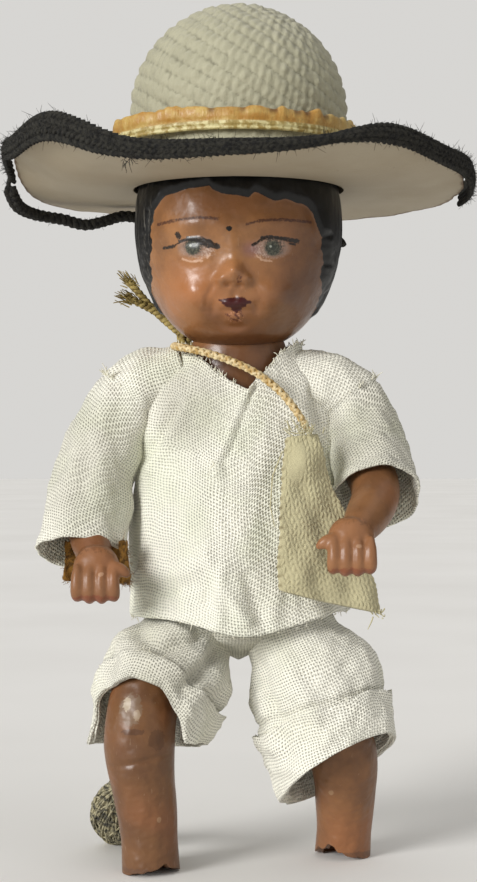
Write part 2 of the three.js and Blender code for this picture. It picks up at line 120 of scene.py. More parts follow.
class Line:
    """A smooth line through points in mm, read by a share of its length."""

    def __init__(self, *points):
        p = np.array(points, float)
        ends = np.vstack([2 * p[0] - p[1], p, 2 * p[-1] - p[-2]])
        t = np.linspace(0, 1, 40, endpoint=False)[:, None]
        parts = []
        for a, b, c, d in zip(ends, ends[1:], ends[2:], ends[3:]):
            d0, d1, d2 = (max(np.linalg.norm(v - u) ** 0.5, 1e-4) for u, v in ((a, b), (b, c), (c, d)))
            m1 = ((b - a) / d0 - (c - a) / (d0 + d1) + (c - b) / d1) * d1
            m2 = ((c - b) / d1 - (d - b) / (d1 + d2) + (d - c) / d2) * d1
            parts.append(
                b + m1 * t + (3 * (c - b) - 2 * m1 - m2) * t**2 + (2 * (b - c) + m1 + m2) * t**3
            )
        self.points = np.vstack([*parts, p[-1:]])
        steps = np.linalg.norm(np.diff(self.points, axis=0), axis=1)
        self.at = np.concatenate([[0], np.cumsum(steps)])
        self.length = self.at[-1]

    def along(self, share):
        """The centre and the direction at a share, run on straight past the ends."""
        share = np.asarray(share, float)
        on = np.clip(share, 0, 1) * self.length

        def read(at):
            return np.stack([np.interp(at, self.at, self.points[:, i]) for i in range(3)], -1)

        reach = self.length * 0.004
        way = unit(read(np.minimum(on + reach, self.length)) - read(np.maximum(on - reach, 0)))
        return read(on) + way * ((share - np.clip(share, 0, 1)) * self.length)[..., None], way

    def ring(self, share, angle, across, deep, reference=FRONT):
        """Points round the line: angle 0 is the side, a quarter turn the front."""
        centre, way = self.along(share)
        side = unit(np.cross(np.broadcast_to(reference, way.shape), way))
        forward = np.cross(way, side)
        return (
            centre
            + side * (np.cos(angle) * across)[..., None]
            + forward * (np.sin(angle) * deep)[..., None]
        )


# ---------------------------------------------------------------- meshes


def clear_selection():
    if bpy.context.object and bpy.context.object.mode != "OBJECT":
        bpy.ops.object.mode_set(mode="OBJECT")
    bpy.ops.object.select_all(action="DESELECT")


def select_only(*pieces):
    clear_selection()
    for piece in pieces:
        piece.select_set(True)
    bpy.context.view_layer.objects.active = pieces[0]


def edit_all(operator, **settings):
    """Runs an edit-mode operator on every part of the active mesh."""
    bpy.ops.object.mode_set(mode="EDIT")
    bpy.ops.mesh.select_all(action="SELECT")
    operator(**settings)
    bpy.ops.object.mode_set(mode="OBJECT")


def face_outwards():
    """Turns the faces of the active closed mesh outwards."""
    edit_all(bpy.ops.mesh.normals_make_consistent, inside=False)


def add_field(mesh, name, values):
    """Keeps a value, or a vector, at each point of a mesh for its material to read."""
    values = np.asarray(values, float)
    kind, key = ("FLOAT_VECTOR", "vector") if values.ndim == 2 else ("FLOAT", "value")
    mesh.attributes.new(name, kind, "POINT").data.foreach_set(key, values.ravel())


def surface(name, across, along, place, flat=None):
    """A grid primitive laid out in mm by place(s, t), which may also give fields for the material.
    flat(points, s, t) gives its UV map in mm. Points that meet are merged."""
    clear_selection()
    bpy.ops.mesh.primitive_grid_add(x_subdivisions=across, y_subdivisions=along, size=1.0)
    piece = bpy.context.object
    piece.name = piece.data.name = name
    mesh = piece.data
    co = np.empty(len(mesh.vertices) * 3)
    mesh.vertices.foreach_get("co", co)
    co = co.reshape(-1, 3) + 0.5
    columns, rows = (len(np.unique(co[:, i].round(5))) for i in (0, 1))
    column = np.rint(co[:, 0] * (columns - 1)).astype(int)
    row = np.rint(co[:, 1] * (rows - 1)).astype(int)
    s, t = np.meshgrid(np.linspace(0, 1, columns), np.linspace(0, 1, rows))
    made = place(s, t)
    points, fields = made if isinstance(made, tuple) else (made, {})
    mesh.vertices.foreach_set("co", (points[row, column] * MM).ravel())
    spread = np.stack([s, t], -1) if flat is None else flat(points, s, t)
    corners = np.empty(len(mesh.loops), int)
    mesh.loops.foreach_get("vertex_index", corners)
    mesh.uv_layers[0].data.foreach_set("uv", spread[row, column][corners].ravel())
    for key, values in fields.items():
        add_field(mesh, key, np.asarray(values)[row, column])
    mesh.update()
    edit_all(bpy.ops.mesh.remove_doubles, threshold=MERGE_WITHIN * MM)
    bpy.ops.object.shade_smooth()
    return piece


def cloth_map(points, s, t):
    """A UV map for cloth: the length across each row from its middle, and the mean length down."""
    across = np.linalg.norm(np.diff(points, axis=1), axis=2)
    u = np.concatenate([np.zeros((len(points), 1)), np.cumsum(across, axis=1)], axis=1)
    u -= u[:, u.shape[1] // 2][:, None]
    down = np.linalg.norm(np.diff(points, axis=0), axis=2)
    v = np.concatenate([np.zeros((1, points.shape[1])), np.cumsum(down, axis=0)], axis=0)
    return np.stack([u, mix(v, v.mean(axis=1, keepdims=True), 0.5)], -1)


def pod(line, across, deep, blunt=3):
    """A round-ended bar along a line."""

    def place(s, t):
        height = np.cos(math.pi * t)
        radius = np.maximum(0, 1 - np.abs(height) ** blunt) ** (1 / blunt)
        share = (1 - height) / 2
        return line.ring(share, TURN * s, radius * between(across, share), radius * between(deep, share))

    return place


def threads(name, lines, thickness, tips=1.0, sides=2):
    """Round threads along lines of points in mm, as one mesh. tips is how thick they end."""
    curve = bpy.data.curves.new(name, "CURVE")
    curve.dimensions = "3D"
    curve.bevel_depth = thickness / 2 * MM
    curve.bevel_resolution = sides
    curve.use_fill_caps = True
    for line in lines:
        line = np.asarray(line)
        spline = curve.splines.new("POLY")
        spline.points.add(len(line) - 1)
        spline.points.foreach_set("co", np.c_[line * MM, np.ones(len(line))].ravel())
        spline.points.foreach_set("radius", mix(1.0, tips, np.linspace(0, 1, len(line)) ** 2))
    piece = bpy.data.objects.new(name, curve)
    bpy.context.scene.collection.objects.link(piece)
    select_only(piece)
    bpy.ops.object.convert(target="MESH")
    bpy.ops.object.shade_smooth()
    return bpy.context.object


def joined(name, *pieces):
    select_only(*pieces)
    bpy.ops.object.join()
    bpy.context.object.name = bpy.context.object.data.name = name
    return bpy.context.object


def modified(piece, kind, **settings):
    """Adds a modifier and applies it."""
    select_only(piece)
    modifier = piece.modifiers.new(kind.title(), kind)
    for key, value in settings.items():
        setattr(modifier, key, value)
    bpy.ops.object.modifier_apply(modifier=modifier.name)


def points_of(piece):
    co = np.empty(len(piece.data.vertices) * 3)
    piece.data.vertices.foreach_get("co", co)
    return co.reshape(-1, 3) / MM


def normals_of(piece):
    normals = np.empty(len(piece.data.vertices) * 3)
    piece.data.vertex_normals.foreach_get("vector", normals)
    return normals.reshape(-1, 3)


def hairs(points, normals, length, curl, seed, steps=3, lean=0.7):
    """Short fibres that stand out of points, in mm."""
    draw = np.random.default_rng(seed)
    count = len(points)
    way = unit(normals + lean * draw.normal(size=(count, 3)))
    bend = draw.normal(size=(count, 3)) * curl
    reach = draw.uniform(0.35, 1.0, size=count) * length
    shares = np.linspace(0, 1, steps)[None, :, None]
    return (
        points[:, None]
        + way[:, None] * reach[:, None, None] * shares
        + bend[:, None] * reach[:, None, None] * shares**2
    )


def strand_lines(line, count, steps, offsets, reference=UP):
    """Lines that run beside a line: offsets(share, k) gives how far each lies to its side and front."""
    share = np.linspace(0, 1, steps)
    centre, way = line.along(share)
    side = unit(np.cross(np.broadcast_to(reference, way.shape), way))
    forward = np.cross(way, side)
    made = []
    for k in range(count):
        aside, out = offsets(share, k)
        made.append(centre + side * aside[:, None] + forward * out[:, None])
    return made


def settle(piece, finish, slot, *nodes):
    """Gives a finished piece its material and its body, and hides the CAD nodes that it stands for."""
    piece.data.materials.clear()
    piece.data.materials.append(finish)
    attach(piece, "root")
    if nodes:
        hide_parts(*nodes)


# ---------------------------------------------------------------- materials


class Nodes:
    """Short words for building a node tree."""

    def __init__(self, tree):
        self.tree = tree

    def node(self, kind, inputs=None, **settings):
        node = self.tree.nodes.new("ShaderNode" + kind)
        for key, value in settings.items():
            setattr(node, key, value)
        for key, value in (inputs or {}).items():
            self.feed(node.inputs[key], value)
        return node

    def feed(self, socket, value):
        if isinstance(value, bpy.types.NodeSocket):
            self.tree.links.new(value, socket)
        else:
            socket.default_value = value

    def math(self, operation, a, b=0.0, c=0.0, clamp=False):
        node = self.node("Math", {0: a, 1: b, 2: c}, operation=operation, use_clamp=clamp)
        return node.outputs[0]

    def times(self, a, b):
        return self.math("MULTIPLY", a, b)

    def without(self, mask):
        return self.math("SUBTRACT", 1.0, mask)

    def vector(self, operation, a, b=None, scale=None):
        node = self.node("VectorMath", {0: a}, operation=operation)
        if b is not None:
            self.feed(node.inputs[1], b)
        if scale is not None:
            self.feed(node.inputs["Scale"], scale)
        return node.outputs["Value" if operation in ("DOT_PRODUCT", "LENGTH", "DISTANCE") else "Vector"]

    def blend(self, share, a, b):
        return self.node("Mix", {0: share, 6: a, 7: b}, data_type="RGBA").outputs[2]

    def band(self, value, low, high, out_low=0.0, out_high=1.0):
        node = self.node(
            "MapRange", {0: value, 1: low, 2: high, 3: out_low, 4: out_high}, interpolation_type="SMOOTHSTEP"
        )
        return node.outputs[0]

    def noise(self, vector, scale, detail=2.0, roughness=0.5):
        inputs = {"Vector": vector, "Scale": scale, "Detail": detail, "Roughness": roughness}
        return self.node("TexNoise", inputs).outputs[0]

    def patches(self, place, scale, a, b, low, high, detail=3.0, roughness=0.5):
        """Two colours in soft patches, where the noise is below low and above high."""
        return self.blend(self.band(self.noise(place, scale, detail, roughness), low, high), a, b)

    def cover(self, colour, mask, share, paint):
        """A colour with a second one laid over it by a share, where the mask is."""
        return self.blend(self.times(mask, share), colour, paint)

    def drift(self, vector, place, scale, detail, by):
        """A vector moved about by noise over a place."""
        noise = self.node("TexNoise", {"Vector": place, "Scale": scale, "Detail": detail}).outputs[1]
        centred = self.vector("SUBTRACT", noise, (0.5, 0.5, 0.5))
        return self.vector("ADD", vector, self.vector("MULTIPLY", centred, by))

    def reach(self, place, centre, size):
        """How far a place is from a centre, where 1 is the edge of an egg of the given size."""
        return self.vector("LENGTH", self.vector("DIVIDE", self.vector("SUBTRACT", place, centre), size))

    def parts(self, vector):
        return self.node("SeparateXYZ", {0: vector}).outputs

    def group(self, tree, inputs):
        node = self.tree.nodes.new("ShaderNodeGroup")
        node.node_tree = tree
        for key, value in inputs.items():
            self.feed(node.inputs[key], value)
        return node.outputs


class Finish(Nodes):
    """A material with one Principled shader."""

    def __init__(self, name, **constants):
        self.material = bpy.data.materials.new(name)
        self.material.use_nodes = True
        super().__init__(self.material.node_tree)
        self.tree.nodes.clear()
        self.shader = self.node("BsdfPrincipled")
        self.tree.links.new(self.shader.outputs[0], self.node("OutputMaterial").inputs[0])
        for key, value in constants.items():
            self.shader.inputs[key.replace("_", " ")].default_value = value

    def place(self):
        """Object coordinates in mm."""
        return self.vector("SCALE", self.node("TexCoord").outputs["Object"], scale=1000.0)

    def field(self, name, kind="Fac"):
        return self.node("Attribute", attribute_name=name).outputs[kind]

    def colour(self, value):
        self.feed(self.shader.inputs["Base Color"], value)

    def roughness(self, value):
        self.feed(self.shader.inputs["Roughness"], value)

    def relief(self, height, depth, after=None, strength=1.0):
        """Adds a bump of the given depth in mm, and gives its normal."""
        bump = self.node("Bump", {"Height": height, "Distance": depth * MM, "Strength": strength})
        if after is not None:
            self.feed(bump.inputs["Normal"], after)
        self.feed(self.shader.inputs["Normal"], bump.outputs[0])
        return bump.outputs[0]


def group_tree(name, inputs, outputs):
    tree = bpy.data.node_groups.new(name, "ShaderNodeTree")
    for label, kind, default in inputs:
        socket = tree.interface.new_socket(label, in_out="INPUT", socket_type="NodeSocket" + kind)
        if default is not None:
            socket.default_value = default
    for label, kind in outputs:
        tree.interface.new_socket(label, in_out="OUTPUT", socket_type="NodeSocket" + kind)
    nodes = Nodes(tree)
    start = tree.nodes.new("NodeGroupInput").outputs
    end = tree.nodes.new("NodeGroupOutput").inputs
    return tree, nodes, start, end


def once(maker):
    """Builds a shared node group the first time that it is asked for."""
    made = {}

    def give():
        if "tree" not in made:
            made["tree"] = maker()
        return made["tree"]

    return give


@once
def stroke_group():
    """One brush stroke: a mask round the line between two places."""
    tree, n, start, end = group_tree(
        "Brush stroke",
        [("Place", "Vector", None), ("From", "Vector", None), ("To", "Vector", None),
         ("Width", "Float", 0.4), ("Edge", "Float", 0.1)],
        [("Mask", "Float")],
    )
    run = n.vector("SUBTRACT", start["To"], start["From"])
    here = n.vector("SUBTRACT", start["Place"], start["From"])
    reach = n.math("ADD", n.vector("DOT_PRODUCT", run, run), 1e-6)
    share = n.math("DIVIDE", n.vector("DOT_PRODUCT", here, run), reach, clamp=True)
    away = n.vector("DISTANCE", here, n.vector("SCALE", run, scale=share))
    half = n.times(start["Width"], 0.5)
    outer = n.math("ADD", half, start["Edge"])
    inner = n.math("SUBTRACT", half, start["Edge"])
    n.feed(end["Mask"], n.band(away, outer, inner))
    return tree


@once
def weave_group():
    """Plain weave over a map in mm: thread height, and the holes between threads."""
    tree, n, start, end = group_tree(
        "Plain weave",
        [("Map", "Vector", None), ("Pitch", "Float", 0.53), ("Slack", "Float", 0.1)],
        [("Height", "Float"), ("Holes", "Float"), ("Thread", "Float")],
    )
    moved = n.drift(start["Map"], start["Map"], 0.14, 1.0, (1.6, 1.6, 0.0))
    moved = n.drift(moved, start["Map"], 1.3, 1.0, (0.14, 0.14, 0.0))
    pitch = n.node("CombineXYZ", {0: start["Pitch"], 1: start["Pitch"], 2: 1.0}).outputs[0]
    split = n.parts(n.vector("DIVIDE", moved, pitch))
    profile, parity = [], []
    for i in (0, 1):
        part = n.math("SUBTRACT", n.math("FRACT", split[i]), 0.5)
        profile.append(n.without(n.times(n.times(part, part), 4.0)))
        parity.append(n.math("FLOOR", split[i]))
    side = n.times(n.math("PINGPONG", n.math("ADD", *parity), 1.0), 0.4)
    lumps = n.noise(n.vector("MULTIPLY", moved, (3.0, 0.5, 1.0)), 1.0, 1.0)
    slubs = n.noise(n.vector("MULTIPLY", moved, (0.5, 3.0, 1.0)), 1.0, 1.0)
    soft = [n.math("ADD", n.times(noise, 0.4), 0.35) for noise in (lumps, slubs)]
    over = n.times(profile[0], n.math("ADD", side, soft[0]))
    under = n.times(profile[1], n.math("SUBTRACT", n.math("ADD", 0.4, soft[1]), side))
    n.feed(end["Height"], n.math("MAXIMUM", over, under))
    gaps = n.times(n.without(profile[0]), n.without(profile[1]))
    n.feed(end["Holes"], n.band(gaps, start["Slack"], n.math("ADD", start["Slack"], 0.28)))
    n.feed(end["Thread"], n.times(n.math("ADD", lumps, slubs), 0.5))
    return tree


@once
def wear_group():
    """Handling marks over a place in mm: soft blotches, sharp specks and fine scratches."""
    tree, n, start, end = group_tree(
        "Handling wear",
        [("Place", "Vector", None), ("Specks", "Float", 0.5)],
        [("Blotches", "Float"), ("Specks", "Float"), ("Scratches", "Float")],
    )
    n.feed(end["Blotches"], n.noise(start["Place"], 0.16, 4.0, 0.6))
    spots = n.noise(start["Place"], 1.7, 3.0, 0.65)
    low = n.math("SUBTRACT", 0.86, n.times(start["Specks"], 0.2))
    n.feed(end["Specks"], n.band(spots, low, n.math("ADD", low, 0.03)))
    drawn = n.noise(n.vector("MULTIPLY", start["Place"], (4.0, 4.0, 0.35)), 1.0, 2.0)
    n.feed(end["Scratches"], n.band(drawn, 0.7, 0.74))
    return tree


def cotton_finish(name, cloth, tint, painted_shade_places):
    """Open plain-weave cotton, over the piece's own map, greyed as painted shade over listed places: centre, size
    and how strong.
    """
    f = Finish(name, Sheen_Weight=0.15, Sheen_Roughness=0.6, Roughness=0.95)
    weave = f.group(weave_group(), {"Map": f.node("UVMap").outputs[0], "Pitch": cloth.thread_pitch / MM})
    place = f.place()
    cream = f.patches(place, 0.09, tuple(cloth.cotton), tint, 0.42, 0.68)
    cream = f.cover(cream, weave["Thread"], 0.5, tone("f6f4ea"))
    darkening = f.band(f.noise(place, 0.3, 4.0, 0.65), 0.66, 0.82)
    cream = f.cover(cream, darkening, 0.25, tone("a39c7e"))
    # Painted shade: greyer over each listed place.
    for centre, size, share in painted_shade_places:
        cream = f.cover(cream, f.band(f.reach(place, centre, size), 1.3, 0.5), share, tone("87826c"))
    open_weave = f.band(f.noise(place, 0.11, 2.0), 0.36, 0.62, 0.42, 0.8)
    f.colour(f.cover(cream, weave["Holes"], open_weave, tone("5f5b49")))
    coarse = f.relief(f.noise(place, 0.8, 3.0), 0.12)
    f.relief(weave["Height"], 0.22, after=coarse)
    return f.material


def yarn_finish(name, light, dark, fibre=6.0, rough=0.95, depth=0.08):
    """Spun yarn: painted shade where a raise field is low, in the hollows between cords and stitches, with fine
    fibre over it.
    """
    f = Finish(name, Sheen_Weight=0.2, Sheen_Roughness=0.6, Roughness=rough)
    place = f.place()
    body = f.patches(place, 0.25, light, tuple(mix(np.array(light), np.array(dark), 0.18)), 0.3, 0.75)
    # Painted shade in the hollows, from the raise field.
    f.colour(f.blend(f.band(f.field("raise"), 0.55, 0.0), body, dark))
    f.relief(f.noise(place, fibre, 3.0, 0.7), depth)
    return f.material


def thread_finish(name, light, dark, rough=0.95, scale=1.2, depth=0.05):
    """Loose threads and fibres, with patches of a second colour."""
    f = Finish(name, Roughness=rough)
    place = f.place()
    f.colour(f.patches(place, scale, light, dark, 0.38, 0.66, 3.0, 0.6))
    f.relief(f.noise(place, 7.0, 2.0), depth)
    return f.material


# ---------------------------------------------------------------- settings


def colour_property(label, description, code):
    return FloatVectorProperty(
        name=label, description=description, subtype="COLOR", size=4, min=0, max=1, default=tone(code)
    )


def length_property(label, description, default):
    return FloatProperty(name=label, description=description, unit="LENGTH", default=default, min=0.0001)


class DollFigure(PropertyGroup):
    skin: colour_property("Skin", "Paint of the face", "98693f")
    limbs: colour_property("Limbs", "Paint of the arms and legs, browner with handling", "835a38")
    hair: colour_property("Hair", "Paint of the hair", "080706")
    lips: colour_property("Lips", "Paint of the mouth", "38040a")
    iris: colour_property("Irises", "Paint of the irises", "4a4d40")


class DollCloth(PropertyGroup):
    cotton: colour_property("Cotton", "Colour of the cotton threads", "e9e6d6")
    thread_pitch: length_property("Thread pitch", "From one thread of the weave to the next", 0.00053)
    wall: length_property("Wall", "Thickness of one layer of cloth", 0.00035)


class DollHat(PropertyGroup):
    cord: colour_property("Crown cord", "Cotton cord of the crown", "a8a489")
    gold: colour_property("Band", "Puckered band round the crown", "a97a30")
    # Darker than the card's own white, as painted shade for the shaded underside of the brim.
    card: colour_property("Brim card", "Card of the brim", "a89c86")
    braid: colour_property("Dark braid", "Yarn of the brim's braid", "2b2922")
    row_pitch: length_property("Row pitch", "From one row of crown cord to the next", 0.0024)
    braid_diameter: length_property("Loose braid", "Thickness of the loose braid", 0.0022)


class DollBag(PropertyGroup):
    yarn: colour_property("Yarn", "Yarn of the bag", "bdb58f")
    cord: colour_property("Strap", "Cord of the strap", "d9c79d")
    strap_diameter: length_property("Strap", "Thickness of the strap", 0.0013)
    stitch: length_property("Stitch", "Width of one column of knitting", 0.0014)


class DollStage(PropertyGroup):
    distance: length_property("Camera distance", "From the middle of the doll", 0.3)
    height: length_property("Camera height", "Above the floor", 0.0717)
    lens: FloatProperty(name="Lens", description="Focal length in mm", default=71.02, min=10)
    floor: colour_property("Floor", "Colour of the floor", "f3f1ed")
    key: FloatProperty(name="Key light", description="Strength of the main light", default=3.1, min=0)
    fill: FloatProperty(name="Fill light", description="Strength of the second light", default=0.36, min=0)
    sky: FloatProperty(name="Room light", description="Strength of the light all round", default=0.32, min=0)


# ---------------------------------------------------------------- shapes shared with the frame

HEAD = {"z": 108, "y": 0.2, "half_width": 17.2, "half_depth": 16, "up": 20.5, "down": 20.6, "turn": 3}
HAIR_RAISE = 0.6
NAPE = -15
FAR_FROM_HAIR = -9.0
FACE_CROWD = 0.45
GAP = 0.3
BRIM = {"radius": 38.6, "thick": 1.1, "y": 0.9, "z": 114.8}
HOLE = {"across": 18.1, "deep": 16.9}
CROWN = {"radius": 18.6, "wall": 1.4, "top": 146.6, "spring": 128, "flare": 3.6, "neck": 121, "foot": 116.35}
BAND = {"bottom": 121.2, "height": 4, "thick": 1.6}
TRIM = {"thick": 1.6, "from": -97, "to": 101}

# What stands out of the face: x across, z up, how wide, how high, how far out, and whether both sides have it.
FACE = [
    (0, -8.7, 1.6, 1.6, 2.5, 0), (0, -5.5, 1.5, 3.2, 0.55, 0), (2.15, -9.8, 1.0, 0.95, 1.2, 1),
    (1.0, -10.7, 0.5, 0.4, -0.5, 1), (6.3, -4.7, 3.7, 2.5, -1.0, 1), (6.3, -4.7, 2.5, 1.5, 1.0, 1),
    (6.2, -0.8, 4.5, 1.6, 0.5, 1), (6.9, -12.6, 3.4, 2.7, 2.0, 1), (0, -14.2, 3.4, 2.4, 1.0, 0),
    (-1.1, -13.6, 1.2, 0.6, 0.45, 0), (1.1, -13.6, 1.2, 0.6, 0.45, 0), (0.2, -15.9, 1.5, 0.7, 0.6, 0),
    (0, -14.7, 2.2, 0.28, -0.35, 0), (0, -12.2, 0.6, 0.9, -0.3, 0), (3.7, -14.2, 0.8, 1.1, -0.7, 1),
    (0, -17.3, 1.8, 0.6, -0.4, 0), (0, -18.7, 3.2, 1.8, 1.0, 0),
]
FACE_LINES = [  # creases and lids: points, width and how far out
    ([(-9.2, -5.9), (-7.6, -6.7), (-6.0, -6.9), (-4.0, -6.1)], 0.45, 0.16),
    ([(9.0, -6.1), (7.4, -6.8), (5.6, -6.8), (3.9, -6.1)], 0.45, 0.16),
    ([(-9.4, -4.2), (-7.8, -3.1), (-5.6, -3.0), (-3.2, -4.3)], 0.35, 0.25),
    ([(9.6, -4.3), (7.8, -3.3), (5.4, -3.3), (3.1, -4.5)], 0.35, 0.25),
    ([(-3.2, -10.4), (-4.4, -12.4), (-4.9, -14.6)], 0.5, -0.25),
    ([(3.2, -10.4), (4.4, -12.4), (4.9, -14.6)], 0.5, -0.22),
]
FRINGE = [
    (-14, 1.6), (-12.55, 3.2), (-11.4, 4.2), (-10.5, 4.6), (-8, 5.1), (-6, 5.4), (-3.9, 5.5), (-3.45, 4.85),
    (-2.0, 4.3), (-0.65, 4.0), (1.2, 3.75), (2.5, 3.6), (3.0, 4.2), (3.45, 4.4), (5.2, 3.7), (6.85, 3.2),
    (8.4, 3.3), (10.95, 2.8), (12.0, 2.4), (12.85, 1.6), (13.5, -0.4), (14.2, -2.3),
]


def distance_to(x, z, points):
    """How far places lie from a bent line through points."""
    best = np.full(np.shape(x), 1e9)
    for (x0, z0), (x1, z1) in zip(points, points[1:]):
        run = max((x1 - x0) ** 2 + (z1 - z0) ** 2, 1e-9)
        share = np.clip(((x - x0) * (x1 - x0) + (z - z0) * (z1 - z0)) / run, 0, 1)
        best = np.minimum(best, np.hypot(x - x0 - share * (x1 - x0), z - z0 - share * (z1 - z0)))
    return best


def face_relief(x, z):
    out = 0.0
    for across, up, wide, high, far, pair in FACE:
        for side in (-1, 1) if pair else (1,):
            out = out + far * bell(x - side * across, wide) * bell(z - up, high)
    for points, wide, far in FACE_LINES:
        out = out + far * bell(distance_to(x, z, points), wide)
    return out


def hair_depth(x, z, facing):
    """How far a place lies inside the hair, in mm. It is negative outside it."""
    wave = 0.1 * ripple(np.stack([x, 0.3 * z, 0 * x], -1), 3.4, 14, 3)
    fringe = z - np.interp(x, *zip(*FRINGE)) + wave
    edge = 0.22 * np.sin(z * 1.3) + 0.1 * np.sin(z * 4.1)
    left = -x - np.interp(z, [-14, -11.5, -9, -4, 2], [15.3, 14.7, 14.4, 14.2, 13.7]) + edge
    right = x - np.interp(z, [-15, -13.2, -10, -2.3], [13.9, 13.7, 14.3, 14.5]) + edge
    back = (0.12 - facing) * 14
    inside = np.maximum(np.maximum(fringe, back), np.maximum(left, right))
    ends = z - NAPE + 0.6 * np.sin(x * 1.7) + 0.3 * np.sin(x * 4.3 + 2)
    return np.minimum(inside, ends)


def head_place(s, t):
    """The head as a ball with flattened sides, a face on its front and raised hair."""
    latitude = np.cos(math.pi * t)
    height = np.abs(latitude)
    even = TURN * s - math.pi
    bearing = even - FACE_CROWD * np.sin(even)
    side, facing = np.sin(bearing), np.cos(bearing)
    rounding = (np.abs(side) ** 2.2 + np.abs(facing) ** 2.2) ** (-1 / 2.2)
    up = latitude < 0
    level = np.where(up, (1 - height**2.2) ** (1 / 2.5), (1 - height**1.8) ** (1 / 2.6))
    width = level * rounding
    z = -latitude * np.where(up, HEAD["up"], HEAD["down"])
    x = HEAD["half_width"] * width * side
    depth = hair_depth(x, z, facing)
    fade = np.minimum(1, 2 * width)
    round_place = np.stack([x, HEAD["half_depth"] * width * facing, z], -1)
    strands = ripple(round_place * [1, 1, 0.09], 1.6, 11, 2)
    hair = (HAIR_RAISE * step(-0.1, 1.3, depth) + 0.07 * strands * step(0, 0.5, depth)) * fade
    out = face_relief(x, z) * step(0.1, 0.6, facing) * fade
    out = out + 0.05 * ripple(round_place, 5.0, 13) * fade
    points = np.stack([x + hair * side, -(HEAD["half_depth"] * width + hair) * facing - out, z], -1)
    turn = math.radians(-HEAD["turn"])
    spun = points.copy()
    spun[..., 0] = points[..., 0] * math.cos(turn) - points[..., 1] * math.sin(turn)
    spun[..., 1] = points[..., 0] * math.sin(turn) + points[..., 1] * math.cos(turn)
    fields = {"face": np.stack([x, facing, z], -1), "hair": depth}
    return spun + [0, HEAD["y"], HEAD["z"]], fields


# ---------------------------------------------------------------- skin

BROWS = [  # worn brush lines: from, to, width
    ((-12.7, -0.3), (-9.5, 0.1), 0.55), ((-9.1, 0.15), (-5.6, 0.3), 0.4), ((-5.6, 0.3), (-2.5, 0.05), 0.5),
    ((2.2, -0.9), (4.2, -0.35), 0.35), ((4.2, -0.35), (8.2, -0.05), 0.5), ((8.2, -0.05), (12.6, -0.15), 0.45),
]
LASHES = [
    ((-9.4, -2.1), (-9.1, -2.7), 0.75), ((-11.8, -4.3), (-10.1, -4.1), 0.5),
    ((-10.0, -4.1), (-9.0, -3.5), 0.25),
    ((-9.0, -3.4), (-7.5, -3.0), 0.5), ((-7.5, -3.0), (-5.4, -3.2), 0.85), ((-5.6, -3.4), (-3.9, -4.0), 1.3),
    ((-4.2, -4.0), (-2.6, -4.4), 0.9),
    ((3.1, -4.3), (4.7, -3.2), 0.45), ((4.7, -3.1), (6.2, -2.9), 0.7), ((6.2, -2.9), (8.2, -3.1), 0.6),
    ((8.2, -3.1), (10.4, -3.4), 0.7), ((9.2, -3.8), (10.0, -3.9), 0.35),
]
LIPS = [
    ((-2.45, -13.1), (-1.2, -13.4), 0.35), ((-1.6, -13.35), (-0.2, -13.2), 1.0),
    ((0.2, -13.25), (1.5, -13.3), 1.3),
    ((1.4, -13.4), (2.6, -13.4), 0.5), ((-1.1, -13.7), (1.5, -13.7), 1.1), ((0.0, -14.3), (0.7, -14.3), 1.1),
    ((0.25, -14.7), (0.35, -14.9), 0.6),
]
SCRIBBLES = [
    ((-1.4, -15.3), (-0.9, -15.6), 0.3), ((-0.6, -16.0), (0.4, -16.3), 0.3), ((0.9, -14.9), (1.2, -15.5), 0.35),
    ((0.1, -15.4), (0.6, -15.9), 0.4), ((0.6, -9.9), (1.0, -9.3), 0.2), ((1.0, -10.0), (1.3, -9.4), 0.2),
    ((0.7, -10.2), (1.2, -10.1), 0.25),
]
# Pale lines along the lower lids: a painted highlight on the lids.
LOWER_LID_HIGHLIGHTS = [
    ((-8.6, -6.2), (-7.2, -6.75), 0.3), ((-7.2, -6.75), (-5.2, -6.7), 0.3), ((-4.4, -6.2), (-3.9, -5.7), 0.3),
    ((3.8, -5.9), (4.6, -6.6), 0.3), ((4.6, -6.6), (6.2, -6.75), 0.3),
]
# Soft spots laid into the paint: where, how wide and high, colour and how strong.
# A warm blush on the left cheek, and painted shade on the right cheek.
CHEEKS = [((-8, -12), (6, 5), "a9693f", 0.3), ((10, -14), (7, 9), "4f2f1f", 0.4)]
# Painted shade under the chin and across the forehead below the hair, a darker spot below the left corner of the
# mouth, and a painted highlight on the nose tip.
PAINTED_SHADE_AND_HIGHLIGHT = [
    ((0, -19), (8, 3.4), "54301b", 0.62), ((-3.8, -15.8), (1.8, 1.6), "4a2c1b", 0.45),
    ((0, 2.5), (9, 3), "6e4326", 0.4), ((-0.3, -8.8), (2.2, 1.9), "b57c52", 0.5),
]
EYES = [(-1, -6.3, -4.4), (1, 6.1, -4.5)]
IRISES = [(-6.8, -4.4), (6.4, -4.65)]


def skin_base(f, place, skin, specks, gloss):
    """Brown paint with blotches, dark specks and scratches: sets its relief, gives its colour and roughness."""
    wear = f.group(wear_group(), {"Place": place, "Specks": specks})
    colour = f.blend(f.band(wear["Blotches"], 0.35, 0.68), skin, toned(skin, "4f3322", 0.5))
    colour = f.patches(place, 0.07, colour, toned(skin, "a4623f", 0.22), 0.45, 0.7, 2.0)
    colour = f.cover(colour, wear["Specks"], 0.75, tone("3b2418"))
    colour = f.cover(colour, wear["Scratches"], 0.25, toned(skin, "e0c7a8", 0.5))
    dust = f.noise(place, 0.9, 4.0, 0.6)
    swell = f.relief(f.noise(place, 0.35, 2.0), 0.25)
    f.relief(dust, 0.035, after=swell)
    return colour, f.math("ADD", f.times(dust, 0.3), gloss)


